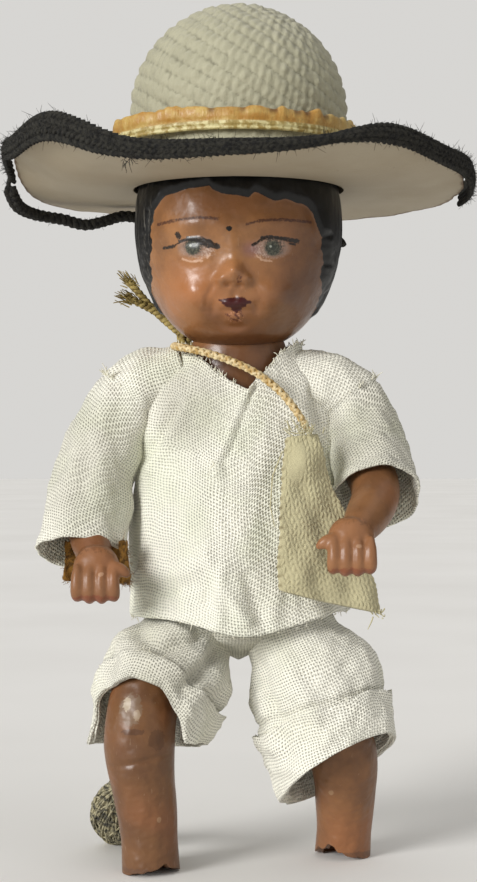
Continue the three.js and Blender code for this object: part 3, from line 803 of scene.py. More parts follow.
class FacePaint:
    """Colours laid one over another on the front of the face, at places across and up it in mm."""

    def __init__(self, finish, place, colour):
        self.f = finish
        self.colour = colour
        self.across, toward, up = finish.parts(finish.field("face", "Vector"))
        self.front = finish.band(toward, 0.05, 0.2)
        self.flat = finish.node("CombineXYZ", {0: self.across, 1: 0.0, 2: up}).outputs[0]
        self.brushed = finish.drift(self.flat, place, 2.6, 2.0, (0.5, 0.0, 0.5))
        self.fine = finish.noise(place, 3.4, 3.0, 0.7)

    def lay(self, mask, paint, share=1.0):
        self.colour = self.f.cover(self.colour, self.f.times(mask, self.front), share, paint)

    def spot(self, at, size, soft=0.25, place=None):
        reach = self.f.reach(place or self.brushed, (at[0], 0, at[1]), (size[0], 1, size[1]))
        return self.f.band(reach, 1 + soft, 1 - soft)

    def shade(self, at, size, code, share):
        self.lay(self.spot(at, size, 0.9, self.flat), tone(code), share)

    def worn(self, mask, low, high):
        """A mask with flakes missing."""
        return self.f.times(mask, self.f.band(self.fine, low, high))

    def strokes(self, listed):
        """The union of listed brush strokes: from, to and width."""
        mask = None
        for (x0, z0), (x1, z1), width in listed:
            inputs = {"Place": self.brushed, "From": (x0, 0, z0), "To": (x1, 0, z1), "Width": width}
            made = self.f.group(stroke_group(), inputs)["Mask"]
            mask = made if mask is None else self.f.math("MAXIMUM", mask, made)
        return mask


def paint_eyes(face, iris):
    for side, x, z in EYES:
        face.lay(face.spot((x, z), (3.0, 1.65), 0.22), tone("8f7668"), 0.75)
        white = face.spot((x - 0.6 * side, z - 0.5), (2.6, 1.3), 0.4)
        face.lay(face.worn(white, 0.5, 0.58), tone("c2aa9c"), 0.6)
    face.lay(face.spot((2.8, -4.9), (1.3, 1.1), 0.8), tone("6b4a57"), 0.5)
    for x, z in IRISES:
        face.lay(face.spot((x, z), (1.25, 1.25), 0.2), iris, 0.95)
        face.lay(face.worn(face.spot((x + 0.2, z + 0.2), (1.7, 1.5), 0.3), 0.46, 0.52), tone("25261f"), 0.9)
        face.lay(face.spot((x + 0.1, z + 0.1), (0.45, 0.45), 0.3), tone("2f332c"), 0.8)
        # A painted highlight on each iris, at its upper left.
        face.lay(face.spot((x - 0.35, z + 0.25), (0.2, 0.2), 0.3, face.flat), tone("a9ada0"), 0.7)
    # The painted highlight along the lower lids.
    face.lay(face.strokes(LOWER_LID_HIGHLIGHTS), tone("dcb9a0"), 0.4)
    face.lay(face.worn(face.strokes(LASHES), 0.3, 0.4), tone("14110f"), 0.95)
    face.lay(face.worn(face.strokes(BROWS), 0.3, 0.5), tone("3a1d18"), 0.8)
    face.lay(face.spot((-0.65, -1.6), (0.5, 0.4), 0.2), tone("0c0a09"))


def face_finish(paints):
    """The head's paint: brown skin, the painted face and the black hair, from the head's own fields, with painted
    shade and painted highlights laid into the face and hair.
    """
    f = Finish("Painted head", Coat_Roughness=0.16, Specular_IOR_Level=0.4)
    place = f.place()
    skin, skin_rough = skin_base(f, place, tuple(paints.skin), 0.35, 0.2)
    # Painted shadow under the chin, darkening the neck below it.
    painted_chin_shadow = f.band(f.parts(place)[2], 90.0, 86.5)
    face = FacePaint(f, place, f.cover(skin, painted_chin_shadow, 0.65, tone("43281a")))
    for shade in CHEEKS:
        face.shade(*shade)
    # Painted shade over the right side of the face.
    face.lay(f.band(face.across, 2.0, 16.0), tone("462817"), 0.62)
    for shade in PAINTED_SHADE_AND_HIGHLIGHT:
        face.shade(*shade)
    # A spot of painted shade on the right cheek beside the nose.
    face.lay(face.spot((9.6, -12.5), (1.5, 1.2), 0.8), tone("452a20"), 0.35)
    paint_eyes(face, tuple(paints.iris))
    face.lay(face.worn(face.spot((0.1, -15.7), (1.5, 0.9), 0.3), 0.52, 0.6), tone("c98f72"), 0.6)
    mouth = face.strokes(LIPS)
    face.lay(mouth, tuple(paints.lips), 0.97)
    face.lay(face.worn(face.strokes(SCRIBBLES), 0.42, 0.5), tone("4a1a18"), 0.9)

    depth = f.math("ADD", f.field("hair"), f.times(f.math("SUBTRACT", face.fine, 0.5), 0.25))
    hair = f.band(depth, -0.05, 0.06)
    # Grey streaks on the left lock: scuffed paint, and a painted highlight on the glossy hair.
    scuff_and_sheen_streaks = f.noise(f.vector("MULTIPLY", place, (2.2, 2.2, 0.16)), 1.0, 3.0, 0.6)
    worn = f.times(f.band(scuff_and_sheen_streaks, 0.52, 0.72), f.band(face.across, -12.8, -14.0))
    f.colour(f.blend(hair, face.colour, f.cover(tuple(paints.hair), worn, 0.6, tone("6b675f"))))
    f.roughness(f.math("ADD", f.times(skin_rough, f.without(hair)), f.times(hair, 0.42)))
    f.feed(f.shader.inputs["Coat Weight"], f.times(f.without(f.math("MAXIMUM", hair, mouth)), 0.16))
    return f.material


def limb_finish(paints, name, darkening, laid_patches):
    """Skin paint on an arm or a leg, darkened overall by a share, with patches of other colours laid in, chips and a
    lighter hand among them: place, size, colour and how strong.
    """
    f = Finish(name, Coat_Roughness=0.22, Specular_IOR_Level=0.36)
    place = f.place()
    colour, rough = skin_base(f, place, toned(paints.limbs, "3a240f", darkening), 0.75, 0.26)
    f.roughness(rough)
    ragged = f.times(f.math("SUBTRACT", f.noise(place, 1.5, 4.0, 0.7), 0.5), 1.3)
    patched = 0.0
    for centre, size, code, share in laid_patches:
        reach = f.math("ADD", f.reach(place, centre, size), ragged)
        mask = f.times(f.band(reach, 1.02, 0.9), share)
        colour = f.blend(mask, colour, tone(code))
        patched = f.math("MAXIMUM", patched, mask)
    f.feed(f.shader.inputs["Coat Weight"], f.times(f.without(patched), 0.13))
    f.colour(colour)
    return f.material


# ---------------------------------------------------------------- operators


class DollOperator(Operator):
    bl_options = {"REGISTER", "UNDO"}

    def execute(self, context):
        self.make(context.scene)
        return {"FINISHED"}


# Where the three lights stand, in metres from the doll's feet.
KEY_FROM, TOP_FROM, FILL_FROM = (-0.5, -0.5, 0.22), (0.05, 0.02, 1.1), (0.5, -0.5, 0.15)


class DOLL_OT_stage(DollOperator):
    """Set the camera, the pale floor and the soft lights"""

    bl_idname = "doll.stage"
    bl_label = "Stage"

    def make(self, scene):
        stage = scene.doll_stage
        clear_selection()
        bpy.ops.object.camera_add(location=(0, -stage.distance, stage.height), rotation=(math.pi / 2, 0, 0))
        camera = bpy.context.object
        camera.data.lens = stage.lens
        camera.data.sensor_width = 36
        camera.data.clip_start = 0.01
        scene.camera = camera
        bpy.ops.mesh.primitive_plane_add(size=6, location=(0, 0, 0))
        floor = bpy.context.object
        floor.name = "floor"
        f = Finish("Pale floor", Roughness=0.9)
        pale = tuple(stage.floor)
        f.colour(f.blend(f.noise(f.place(), 0.01), pale, toned(pale, "d9d6d0", 0.6)))
        floor.data.materials.append(f.material)
        for power, soft, (x, y, z) in (
            (stage.key, 24, KEY_FROM), (stage.fill * 2, 90, TOP_FROM), (stage.fill, 60, FILL_FROM),
        ):
            bpy.ops.object.light_add(type="SUN", location=(x, y, z))
            light = bpy.context.object
            light.data.energy = power
            light.data.angle = math.radians(soft)
            light.rotation_euler = (math.atan2(math.hypot(x, y), z), 0, math.atan2(x, -y))
        world = bpy.data.worlds.new("Pale room")
        scene.world = world
        world.use_nodes = True
        n = Nodes(world.node_tree)
        n.tree.nodes.clear()
        ray = n.node("LightPath").outputs
        dim = n.band(ray["Is Glossy Ray"], 0.0, 1.0, stage.sky, stage.sky * 0.35)
        lit = n.node("Background", {"Color": (1, 0.99, 0.97, 1), "Strength": dim})
        seen = n.node("Background", {"Color": (1, 0.985, 0.955, 1), "Strength": 0.68})
        both = n.node("MixShader", {0: ray["Is Camera Ray"], 1: lit.outputs[0], 2: seen.outputs[0]})
        n.tree.links.new(both.outputs[0], n.node("OutputWorld").inputs[0])
        scene.view_settings.view_transform = "Standard"


LOOSE_BRAID = [
    (-40.4, 6.4, 116.2), (-39.2, 10, 113.5), (-36.4, 14, 112.5), (-32, 16.6, 112), (-28, 18, 111.2),
    (-24.6, 19.2, 112), (-21.4, 20, 113), (-17.4, 20.4, 112.6), (-12.6, 20.6, 111.6), (-7, 20.4, 110.6),
    (-1, 20, 109.9), (5, 19.5, 109.2), (10.4, 18.3, 108.5), (15, 16.2, 107.9), (18.6, 13.4, 107.4),
]
STRAP = [
    (11.4, -12.1, 73.6), (10, -12.1, 76), (7, -11.6, 79.8), (2.8, -10.4, 83.1), (-1.6, -9.4, 85.2),
    (-5.8, -8.4, 86.6), (-9.2, -6.4, 87.4), (-10.9, -2.6, 87.9), (-10.6, 2.4, 88), (-8.4, 7, 88),
    (-4, 10.2, 87.2), (1, 11.6, 85), (6, 12.4, 80.6), (10.6, 12.6, 74.6), (15, 11.8, 68.6),
    (18.8, 9, 62.4), (20.2, 4.4, 57.6), (20.4, -1, 54.6), (20.4, -5.8, 53.6), (20, -9.6, 54.2),
]


def plait(line, pitch, width, depth, count=3):
    """The strands of a flat plait along a line."""
    turns = line.length / pitch

    def offsets(share, k):
        phase = TURN * (share * turns + k / count)
        return width * np.sin(phase), depth * np.sin(2 * phase)

    return strand_lines(line, count, int(turns * 18), offsets)


def round_braid(line, pitch, radius):
    """The four strands of a round braid along a line."""
    turns = line.length / pitch

    def offsets(share, k):
        way = 1 if k % 2 else -1
        angle = way * TURN * share * turns + math.pi * (k // 2) + math.pi / 4
        out = radius * (1 + 0.16 * way * np.cos(2 * angle))
        return out * np.cos(angle), out * np.sin(angle)

    return strand_lines(line, 4, int(turns * 15), offsets, reference=np.array([0.15, 0.1, 1.0]))


def dark_yarn(hat):
    return thread_finish("Charcoal yarn", tuple(hat.braid), tone("080706"), scale=1.6, depth=0.2)


class DOLL_OT_loose_braid(DollOperator):
    """Plait the loose end of dark braid that hangs behind the head"""

    bl_idname = "doll.loose_braid"
    bl_label = "Loose braid"

    def make(self, scene):
        hat = scene.doll_hat
        line = Line(*LOOSE_BRAID)
        width = hat.braid_diameter / MM
        lines = plait(line, 3.6, width * 0.29, width * 0.19)
        core = threads("loose_braid_plait", lines, width * 0.58, sides=2)
        draw = np.random.default_rng(31)
        at, way = line.along(draw.uniform(0.0, 1.0, 520))
        out = unit(np.cross(way, draw.normal(size=way.shape)))
        fuzz = threads("loose_braid_fuzz", hairs(at + out * width * 0.36, out, 0.75, 0.5, 32), 0.07, 0.4, 0)
        braid = joined("loose_braid_yarn", core, fuzz)
        settle(braid, dark_yarn(hat), "dark_braid", "loose_braid")


class DOLL_OT_strap(DollOperator):
    """Braid the bag's strap from its mouth round the neck and down the back"""

    bl_idname = "doll.strap"
    bl_label = "Bag strap"

    def make(self, scene):
        bag = scene.doll_bag
        line = Line(*STRAP)
        width = bag.strap_diameter / MM
        lines = round_braid(line, 2.3, width * 0.27)
        strap = threads("bag_strap_cord", lines, width * 0.5, sides=1)
        finish = thread_finish("Strap cord", tuple(bag.cord), tone("b08f52"), rough=0.6, scale=0.9)
        settle(strap, finish, "strap_cord", "bag_strap")


class DOLL_OT_head(DollOperator):
    """Model the head with its painted face and hair, and the neck and torso"""

    bl_idname = "doll.head"
    bl_label = "Head and torso"

    def make(self, scene):
        head = surface("head", 240, 225, head_place)
        torso_line = Line((0, 1, 92), (0, 1, 86.5), (0, 1, 80), (0, 0.5, 66), (0, 0.5, 52), (0, 1, 39))
        across, deep = [10.2, 9.4, 13.4, 12.6, 12.4, 12.6, 8], [7.6, 7.0, 6.8, 7.6, 8, 8.2, 6]
        torso = surface("torso", 40, 44, pod(torso_line, across, deep, 4))
        add_field(torso.data, "hair", np.full(len(torso.data.vertices), FAR_FROM_HAIR))
        head = joined("painted_head", head, torso)
        settle(head, face_finish(scene.doll_figure), "composition", "head_and_torso")


FISTS = {"right": (-23.4, -14, 49), "left": (18.2, -19.2, 53.9)}
ARM_SIZE = [4.4, 4.6, 4.2, 3.9, 3.4], [4.4, 4.6, 4.2, 3.7, 3.1]
FINGER_SIZE = [0.85, 1.0, 1.12, 0.95], [0.9, 1.15, 1.15, 0.95]
THUMB_SIZE = [1.3, 1.1, 0.7], [1.3, 1.1, 0.8]
ARM_LINES = {
    "right": [(-15.5, 1, 78.5), (-23, 0, 66), (-25, -4.6, 58), (-23.7, -12.6, 51.6)],
    "left": [(15.5, 1, 78.5), (21.4, -0.8, 68.6), (23, -8, 62.8), (18.8, -19, 56.4)],
}


class DOLL_OT_arms(DollOperator):
    """Model both arms with their closed hands"""

    bl_idname = "doll.arms"
    bl_label = "Arms"

    def make(self, scene):
        for side, inward, darkening in (("right", 1, 0.5), ("left", -1, 0.0)):
            x, y, z = FISTS[side]
            parts = [surface("limb", 40, 60, pod(Line(*ARM_LINES[side]), *ARM_SIZE, 4))]
            palm = Line((x, y + 1.6, z + 5.4), (x, y, z - 1.8))
            parts.append(surface("palm", 36, 30, pod(palm, [3.2, 3.9, 4.0], [2.6, 2.8, 2.4])))
            for reach in (-1.5, -0.5, 0.5, 1.5):
                fx, drop = x + reach * 2.0, 0.35 * abs(reach)
                knuckle, middle = (fx, y - 1.3, z + 2.6), (fx, y - 2.1, z - 0.4)
                bent = Line(knuckle, middle, (fx, y - 1.9, z - 2.6 + drop), (fx, y + 0.2, z - 3.9 + drop))
                parts.append(surface("finger", 20, 30, pod(bent, *FINGER_SIZE)))
            root, joint = (x + inward * 2.2, y - 0.6, z + 2.2), (x + inward * 4.3, y - 1.1, z + 1.5)
            thumb = Line(root, joint, (x + inward * 5.7, y - 1, z + 0.5))
            parts.append(surface("thumb", 20, 24, pod(thumb, *THUMB_SIZE)))
            arm = joined(side + "_arm_skin", *parts)
            modified(arm, "REMESH", mode="VOXEL", voxel_size=0.32 * MM)
            modified(arm, "SMOOTH", factor=0.5, iterations=5)
            bpy.ops.object.shade_smooth()
            laid_patches = [
                # Lighter over the hand, redder under the fingers, and a small pale mark.
                ((x, y - 2, z), (6.5, 5.0, 5.5), "9c6b47", 0.45),
                ((x, y - 1.5, z - 3.6), (5.5, 3.0, 1.3), "7a3a28", 0.55),
                ((x + 1, y - 3, z + 1), (0.5, 1.5, 0.35), "c9a689", 0.35),
            ]
            finish = limb_finish(scene.doll_figure, side.title() + " arm paint", darkening, laid_patches)
            settle(arm, finish, "composition", side + "_arm")


LEG_LINES = {
    "right": [(-7.6, 0.4, 39), (-14.2, -7.4, 32.6), (-16.4, -11.2, 23), (-15, -10.4, 8), (-14.4, -10, -3)],
    "left": [(7.8, 0.4, 39), (13.6, -3.4, 29), (17.8, -3.6, 18), (18.3, -0.6, 9), (17.9, 2.4, -3)],
}
LEG_SIZE = [5.4, 5.6, 5.8, 5.9, 5.2, 4.7, 4.9], [6.2, 6.4, 5.8, 5.7, 5.0, 4.5, 4.7]
BREAK = {"right": (-1.1, 2.3), "left": (1.35, 3.0)}  # where the ragged edge rises, as an angle, and how high
LEG_OUTSIDE = 0.84  # the share of the leg's grid that is its outside; the rest goes up into the hollow
LEG_CHIPS = {
    "right": [
        ((-17.8, -17.0, 28.2), (2.2, 3.0, 3.0), "75604c", 0.7),
        ((-18.3, -17.2, 28.9), (0.9, 3.0, 1.5), "b3a48d", 0.7),
        ((-16.6, -17.0, 27.0), (0.6, 3.0, 1.0), "9c8970", 0.6),
        ((-13.2, -17.0, 22.9), (1.5, 3.0, 1.8), "4b2f1a", 0.5),
        ((-17.2, -17.0, 24.3), (2.0, 3.0, 0.5), "4b3020", 0.6),
        ((-13, -15, 9.6), (0.35, 3.0, 0.5), "a98d6d", 0.4),
        ((-14.5, -12, 0.8), (5.5, 6.0, 0.7), "5a4030", 0.6),
    ],
    "left": [
        ((15.6, -7, 12.4), (0.4, 3.0, 0.45), "a98d6d", 0.4),
        ((18, 0, 0.8), (6, 7, 0.8), "5a4030", 0.6),
        ((20, -7, 5), (0.8, 3.0, 0.5), "4b3020", 0.5),
    ],
}


def share_above(line, angle, rim):
    """How far down each side of the leg the rim's height lies, found by halving."""
    low, high = np.full(angle.shape, 0.5), np.ones(angle.shape)
    for _ in range(16):
        middle = (low + high) / 2
        at = line.ring(middle, angle, between(LEG_SIZE[0], middle), between(LEG_SIZE[1], middle))
        above = at[..., 2] > rim
        low, high = np.where(above, middle, low), np.where(above, high, middle)
    return low


def leg_place(side):
    line = Line(*LEG_LINES[side])
    toward, rise = BREAK[side]

    def place(s, t):
        angle = TURN * s
        jag = ripple(np.stack([np.cos(angle) * 4, np.sin(angle) * 4, 0 * angle], -1), 2.4, 41, 2)
        lift = bell(turned_by(angle, math.pi / 2 + toward * 0.5), 0.85)
        rim = rise * lift * (0.75 + 0.16 * jag) + 0.2 * np.maximum(0, jag) * (lift > 0.05)
        rim = np.clip(rim, 0, 3.4)
        u = np.clip((t - LEG_OUTSIDE) / (1 - LEG_OUTSIDE), 0, 1)  # from the rim up into the hollow
        share = np.minimum(t / LEG_OUTSIDE, 1) * share_above(line, angle, rim)
        round_top = np.minimum(1, 1 - np.clip(1 - share / 0.05, 0, 1) ** 2) ** 0.5
        wall = mix(1.0, 0.7, step(0.0, 0.25, u)) * (1 - step(0.7, 1.0, u))
        knee = 0.25 * bell(share - 0.42, 0.06) * np.sin(angle) * (u == 0)
        across, deep = (between(size, share) * round_top * wall + knee for size in LEG_SIZE)
        points = line.ring(share, angle, across, deep)
        up_inside = rim + step(0.25, 0.7, u) * 2.8 + 0.15 * jag * (u > 0.2) * (u < 0.7)
        points[..., 2] = np.maximum(np.where(u > 0, up_inside, points[..., 2]), 0)
        crease = -0.3 * bell(points[..., 2] - 21.5 - 0.25 * (points[..., 0] - line.points[0, 0]), 0.45)
        front = step(0.2, 0.8, np.sin(angle)) * (u == 0)
        points[..., 1] -= front * (crease + 0.08 * ripple(points, 2.2, 42))
        return points

    return place


class DOLL_OT_legs(DollOperator):
    """Model both legs down to their broken, hollow ends"""

    bl_idname = "doll.legs"
    bl_label = "Legs"

    def make(self, scene):
        for side, darkening in (("right", 0.38), ("left", 0.1)):
            leg = surface(side + "_leg_skin", 86, 184, leg_place(side))
            finish = limb_finish(scene.doll_figure, side.title() + " leg paint", darkening, LEG_CHIPS[side])
            settle(leg, finish, "composition", side + "_leg")


# ---------------------------------------------------------------- clothes

SHIRT_LINE = [(0, 0.8, 86.6), (0, 0.6, 70), (0, 0, 55), (0, -0.6, 40.6)]
SHIRT_SIZE = (
    [10.8, 16.6, 17.4, 17.5, 17.7, 17.9, 18.1, 18.4, 18.7],
    [7.6, 9.1, 9.7, 10.1, 10.4, 10.8, 11.3, 11.9, 12.5],
)
NECKLINE = [
    (-12, 87), (-10.9, 86.8), (-7.3, 86.2), (-4.5, 84.7), (-1.9, 82.5), (0, 81.1), (1.1, 80.2), (1.9, 81.8),
    (4, 84), (7, 86.4), (10.4, 88.3), (12, 88.4),
]
SHIRT_FOLDS = [  # over the front: points, width, how far out
    ([(2.0, 81), (0.2, 77), (-1.6, 72), (-3.4, 68.4)], 0.45, 0.55),
    ([(2.8, 80.6), (1.0, 76.8), (-0.8, 71.8), (-2.5, 68)], 0.4, -0.4),
    ([(-3.2, 68.4), (-2.9, 60), (-2.6, 50), (-2.9, 42)], 0.5, 0.18),
    ([(-10.6, 77.4), (-13.6, 72), (-16.8, 68.5)], 1.1, -1.1),
    ([(-8.2, 78.6), (-11.5, 73), (-14.8, 67)], 1.2, 0.8), ([(-2.2, 51), (-3.2, 46), (-3.4, 41)], 0.9, 0.7),
    ([(-4.4, 50), (-5.4, 45)], 0.9, -0.5), ([(1.2, 49), (3.0, 44), (4.4, 40.5)], 1.1, -0.7),
    ([(6.5, 48), (5.4, 41)], 1.2, 0.7),
    ([(-5.5, 53), (-2.5, 47), (1.5, 42)], 0.9, 0.8), ([(-17, 50.5), (-12, 49), (-7, 50.5)], 0.9, 0.6),
    ([(-17, 48), (-12, 46.8), (-7, 47.6)], 1.0, -0.5), ([(-14, 60), (-16.4, 52), (-17, 44)], 1.2, -0.5),
    ([(12.6, 80), (14.2, 74), (15.6, 69)], 1.0, -0.7),
    ([(10.8, 79), (12, 72), (13.4, 66)], 1.2, 0.5), ([(-8, 66), (-4, 64.5), (2, 65)], 1.2, 0.25),
]
# Painted shade on the sleeves, the upper left chest and the lower front.
SHIRT_PAINTED_SHADE = [
    ((-26, -4, 66), (9, 14, 16), 0.32), ((24, -5, 70), (9, 14, 12), 0.35), ((-9, -9, 78), (7, 9, 8), 0.35),
    ((8, -10, 50), (9, 9, 9), 0.12),
]
SLEEVES = {
    "right": (
        [(-9, 1, 83), (-17.6, 1, 80.2), (-23, 0, 71), (-25.4, -2, 61.8), (-26.4, -4.8, 52.4)],
        ([5.6, 6.2, 6.7, 7.2, 7.8], [5.9, 6.4, 6.6, 7.0, 7.6]), 1.2,
    ),
    "left": (
        [(8.4, 1, 82), (16.6, 1, 80.2), (20.6, 0.2, 74.8), (22.4, -2.2, 68), (23.4, -5.4, 62)],
        ([5.6, 6.2, 6.6, 7.0, 7.4], [5.9, 6.3, 6.5, 6.8, 7.2]), 2.4,
    ),
}


SEAM_AT = {"right": 0.27, "left": 0.38}  # where each sleeve is sewn on, as a share of its line


def folds(x, z, listed):
    out = 0.0
    for points, wide, far in listed:
        out = out + far * bell(distance_to(x, z, points), wide)
    return out


def shirt_place(s, t):
    """The shirt's body, from its frayed neck down to its hem, with its slit and folds."""
    line = Line(*SHIRT_LINE)
    angle = TURN * s - math.pi / 2
    facing = np.sin(angle)
    front = np.interp(11.2 * np.cos(angle), *zip(*NECKLINE))
    top = mix(88.3, front, step(-0.25, 0.1, facing))
    first = (86.6 - top) / line.length
    dip = 3 * bell(turned_by(angle, 1.45), 0.55) - 1.2 - 0.9 * np.maximum(0, np.cos(angle))
    last = 1 + dip / line.length
    share = mix(first, last, t)
    pleat = step(0.35, 1, share) * 0.55 * np.cos(7 * angle + 0.8)
    points = line.ring(share, angle, *(between(size, share) + pleat for size in SHIRT_SIZE))
    centre, _ = line.along(share)
    out = unit((points - centre) * [1, 1, 0])
    seen = step(0.15, 0.5, facing)
    lift = folds(points[..., 0], points[..., 2], SHIRT_FOLDS) * seen
    lift = lift + 0.16 * ripple(points * [1, 1, 0.45], 5.5, 51) + 0.07 * ripple(points * [1, 1, 0.6], 2.0, 52)
    behind = step(0.1, 0.6, -facing) * step(0.1, 0.5, share)
    lift = lift + behind * 0.7 * ripple(points * [1, 0.4, 0.25], 9.0, 53)
    hem = bell(share - last + 0.012, 0.012) * 0.12
    panel = 2.6 * bell(angle - 3.75, 0.42) * bell(points[..., 2] - 57, 9)
    return points + out * (np.clip(lift, -1.6, 0.9) + hem + panel)[..., None]


def sleeve_place(side):
    """A sleeve, from inside the shirt to its cuff."""
    points, (across, deep), rise = SLEEVES[side]
    line = Line(*points)

    def place(s, t):
        angle = TURN * s + (math.pi if side == "right" else 0)
        share = t + t**3 * -rise * np.sin(angle) / line.length
        end = 1 - rise * np.sin(angle) / line.length
        ring = line.ring(share, angle, between(across, share), between(deep, share))
        centre, _ = line.along(share)
        out = unit(ring - centre)
        wave = ripple(ring * [1, 1, 0.5], 6.0, 61) * 0.3 + ripple(ring, 2.2, 62) * 0.07
        inside = bell(turned_by(angle, 0 if side == "right" else math.pi), 1.1)
        bunch = 0.45 * np.sin(share * 26 + 1.5 * np.sin(angle)) * inside
        bunch = bunch * step(0.2, 0.5, share) * (1 - step(0.75, 1, share))
        hem = 0.2 * step(end - 0.055, end - 0.045, share)
        slope = step(0.0, 0.15, t)
        seam = -0.4 * bell(share - SEAM_AT[side], 0.014)
        return ring + out * ((wave + bunch) * slope + hem + seam)[..., None]

    return place


def frays(points, ways, count, length, seed):
    """Short loose threads at a cut edge: places on it and the ways that it faces."""
    draw = np.random.default_rng(seed)
    pick = draw.integers(0, len(points), count)
    return hairs(points[pick] + 0.1 * draw.normal(size=(count, 3)), ways[pick], length, 0.45, seed + 1, 4, 0.35)


class DOLL_OT_shirt(DollOperator):
    """Cut the shirt: a body with a frayed neck and a front slit, and two sleeves"""

    bl_idname = "doll.shirt"
    bl_label = "Shirt"

    def make(self, scene):
        cloth = scene.doll_cloth
        body = surface("shirt_body", 184, 100, shirt_place, cloth_map)
        right = surface("right_sleeve", 82, 60, sleeve_place("right"), cloth_map)
        left = surface("left_sleeve", 82, 52, sleeve_place("left"), cloth_map)
        for part in (body, right, left):
            modified(part, "SOLIDIFY", thickness=cloth.wall, offset=-1.0)
        shirt = joined("shirt_cloth", body, right, left)
        settle(shirt, cotton_finish("Shirt cotton", cloth, tone("dfe0c8"), SHIRT_PAINTED_SHADE), "cotton", "shirt")
        s = np.linspace(0, 1, 400)
        edge = shirt_place(s[None], np.zeros((1, 400)))[0]
        hem = shirt_place(s[None], np.ones((1, 400)))[0]
        up = np.tile([0.0, 0.0, 1.0], (400, 1)) + 0.3 * unit(edge * [1, 1, 0])
        lines = frays(edge, up, 210, 0.7, 71)
        low = frays(hem, -up, 60, 0.8, 73)
        seams = []
        for side, at in SEAM_AT.items():
            ring = sleeve_place(side)(s[None], np.full((1, 400), at))[0]
            spots = ring[ring[:, 2] > ring[:, 2].max() - 3.0] + UP * 0.3
            seams.append(frays(spots, np.tile([0.0, -0.15, 1.0], (len(spots), 1)), 40, 1.3, 75))
        tack = np.array([[(-4.4, -10.9, 68.4), (-3.9, -11.5, 67.6), (-3.6, -11.4, 66.6), (-3.8, -11.0, 65.6)],
                         [(-4.0, -11.0, 68.0), (-4.6, -11.4, 67.2), (-4.9, -11.3, 66.4), (-4.9, -10.9, 65.8)]])
        loose = threads("shirt_frays", [*lines, *low, *np.concatenate(seams), *tack], 0.2, 0.6, 0)
        settle(loose, thread_finish("Loose cotton", tuple(cloth.cotton), tone("cfcbb4")), "cotton")


WAIST = [(0, 0.6, 50), (0, 0.6, 43), (0, 0.4, 34)], ([14.2, 14.6, 14.4, 10.4, 0.2], [9.2, 9.6, 9.4, 7.8, 0.2])
TROUSER_LEGS = {
    "right": (
        [(-7.4, -0.2, 44), (-8.5, -0.2, 39), (-12.8, -5.4, 30), (-15.8, -8, 21.5)],
        ([7.8, 8, 11.0, 10.3, 8.5], [7.8, 8.2, 11, 11.4, 11.4]),
        lambda a: np.interp(
            a, [-1.57, -0.6, 0.1, 0.8, 1.2, 1.6, 2.1, 2.6, 2.95, 3.25, 3.5, 4.0, 4.71],
            [-0.5, -2.0, -2.6, -0.9, -4.6, -7.4, -7.5, -5.4, -3.4, 2.0, 3.4, 1.6, -0.5],
        ),
    ),
    "left": (
        [(7.4, -0.2, 44), (8.8, -0.2, 39), (12.8, -2.2, 30), (16.3, -4.6, 18.2)],
        ([7.8, 8, 11.6, 11.4, 10.2], [7.8, 8.2, 10.2, 10.4, 10.3]),
        lambda a: 2.2 - 2.6 * np.cos(a) - 2.4 * np.sin(a),
    ),
}
TROUSER_FOLDS = [
    ([(-1.2, 39), (-4.5, 35), (-9, 31.5)], 1.3, -1.7), ([(1.4, 38), (4.0, 33), (5.6, 27)], 1.0, -0.8),
    ([(-17, 40), (-13, 37.6), (-7, 38.6)], 1.2, -1.4), ([(-20, 37), (-15, 34.5), (-9, 34)], 1.3, 0.8),
    ([(-6.5, 31), (-8.5, 28), (-9.5, 25)], 1.2, 0.7), ([(6, 38), (10, 31), (13, 26)], 1.6, 0.6),
    ([(-3, 30), (-5.5, 24), (-7, 19)], 1.1, -0.7), ([(17, 36), (20, 31), (22.5, 26)], 1.3, -0.5),
    ([(3.4, 30), (7, 24), (9, 19)], 1.2, -0.5), ([(-19, 36), (-21, 31), (-22, 28)], 1.2, -0.4),
]
# Painted shade on the right trouser leg and between the legs.
TROUSER_PAINTED_SHADE = [((-12, -8, 32), (10, 14, 10), 0.45), ((1, -6, 37), (4, 8, 5), 0.5)]
CUFF = 8.0


def trouser_place(side, cuff):
    """A trouser leg, or the cuff that is turned up round its end."""
    points, (across, deep), rim = TROUSER_LEGS[side]
    line = Line(*points)
    first = 1 - CUFF / line.length

    def place(s, t):
        angle = TURN * s - math.pi / 2
        run = rim(angle) / line.length
        if cuff:  # from inside its top edge, out over the fold, down and in under the hem
            down = np.interp(t, [0, 0.12, 0.2, 0.8, 0.88, 1.0], [0.24, 0.0, 0.0, 1.0, 1.0, 0.72])
            out = np.interp(t, [0, 0.12, 0.2, 0.5, 0.8, 0.88, 1.0], [0.45, 0.5, 1.0, 0.95, 0.85, 0.2, -0.5])
            rim_places = np.stack([np.cos(angle), np.sin(angle), 0 * angle], -1) * 10
            uneven = 0.5 * ripple(rim_places, 9, 84) * (1 - down)
            share = mix(first, 1, down) + uneven / line.length
        else:
            share, out = t * 0.985, 0 * t
        share = share + np.maximum(share, 0) ** 3 * run
        ring = line.ring(share, angle, between(across, share), between(deep, share))
        centre, _ = line.along(share)
        away = unit(ring - centre)
        facing = step(0.0, 0.5, -away[..., 1])
        wave = folds(ring[..., 0], ring[..., 2], TROUSER_FOLDS) * facing
        wave = wave + 0.28 * ripple(ring, 6.5, 81) + 0.08 * ripple(ring, 2.3, 82)
        if cuff:
            wave = wave + 0.22 * ripple(ring * [1, 1, 0.5], 3.2, 83) * np.clip(out, 0, 1)
        else:
            wave = wave - 0.6 * bell(share - first + 0.015, 0.025)
        return ring + away * (np.clip(wave, -1.8, 0.8) * step(0.1, 0.4, share) + out)[..., None]

    return place


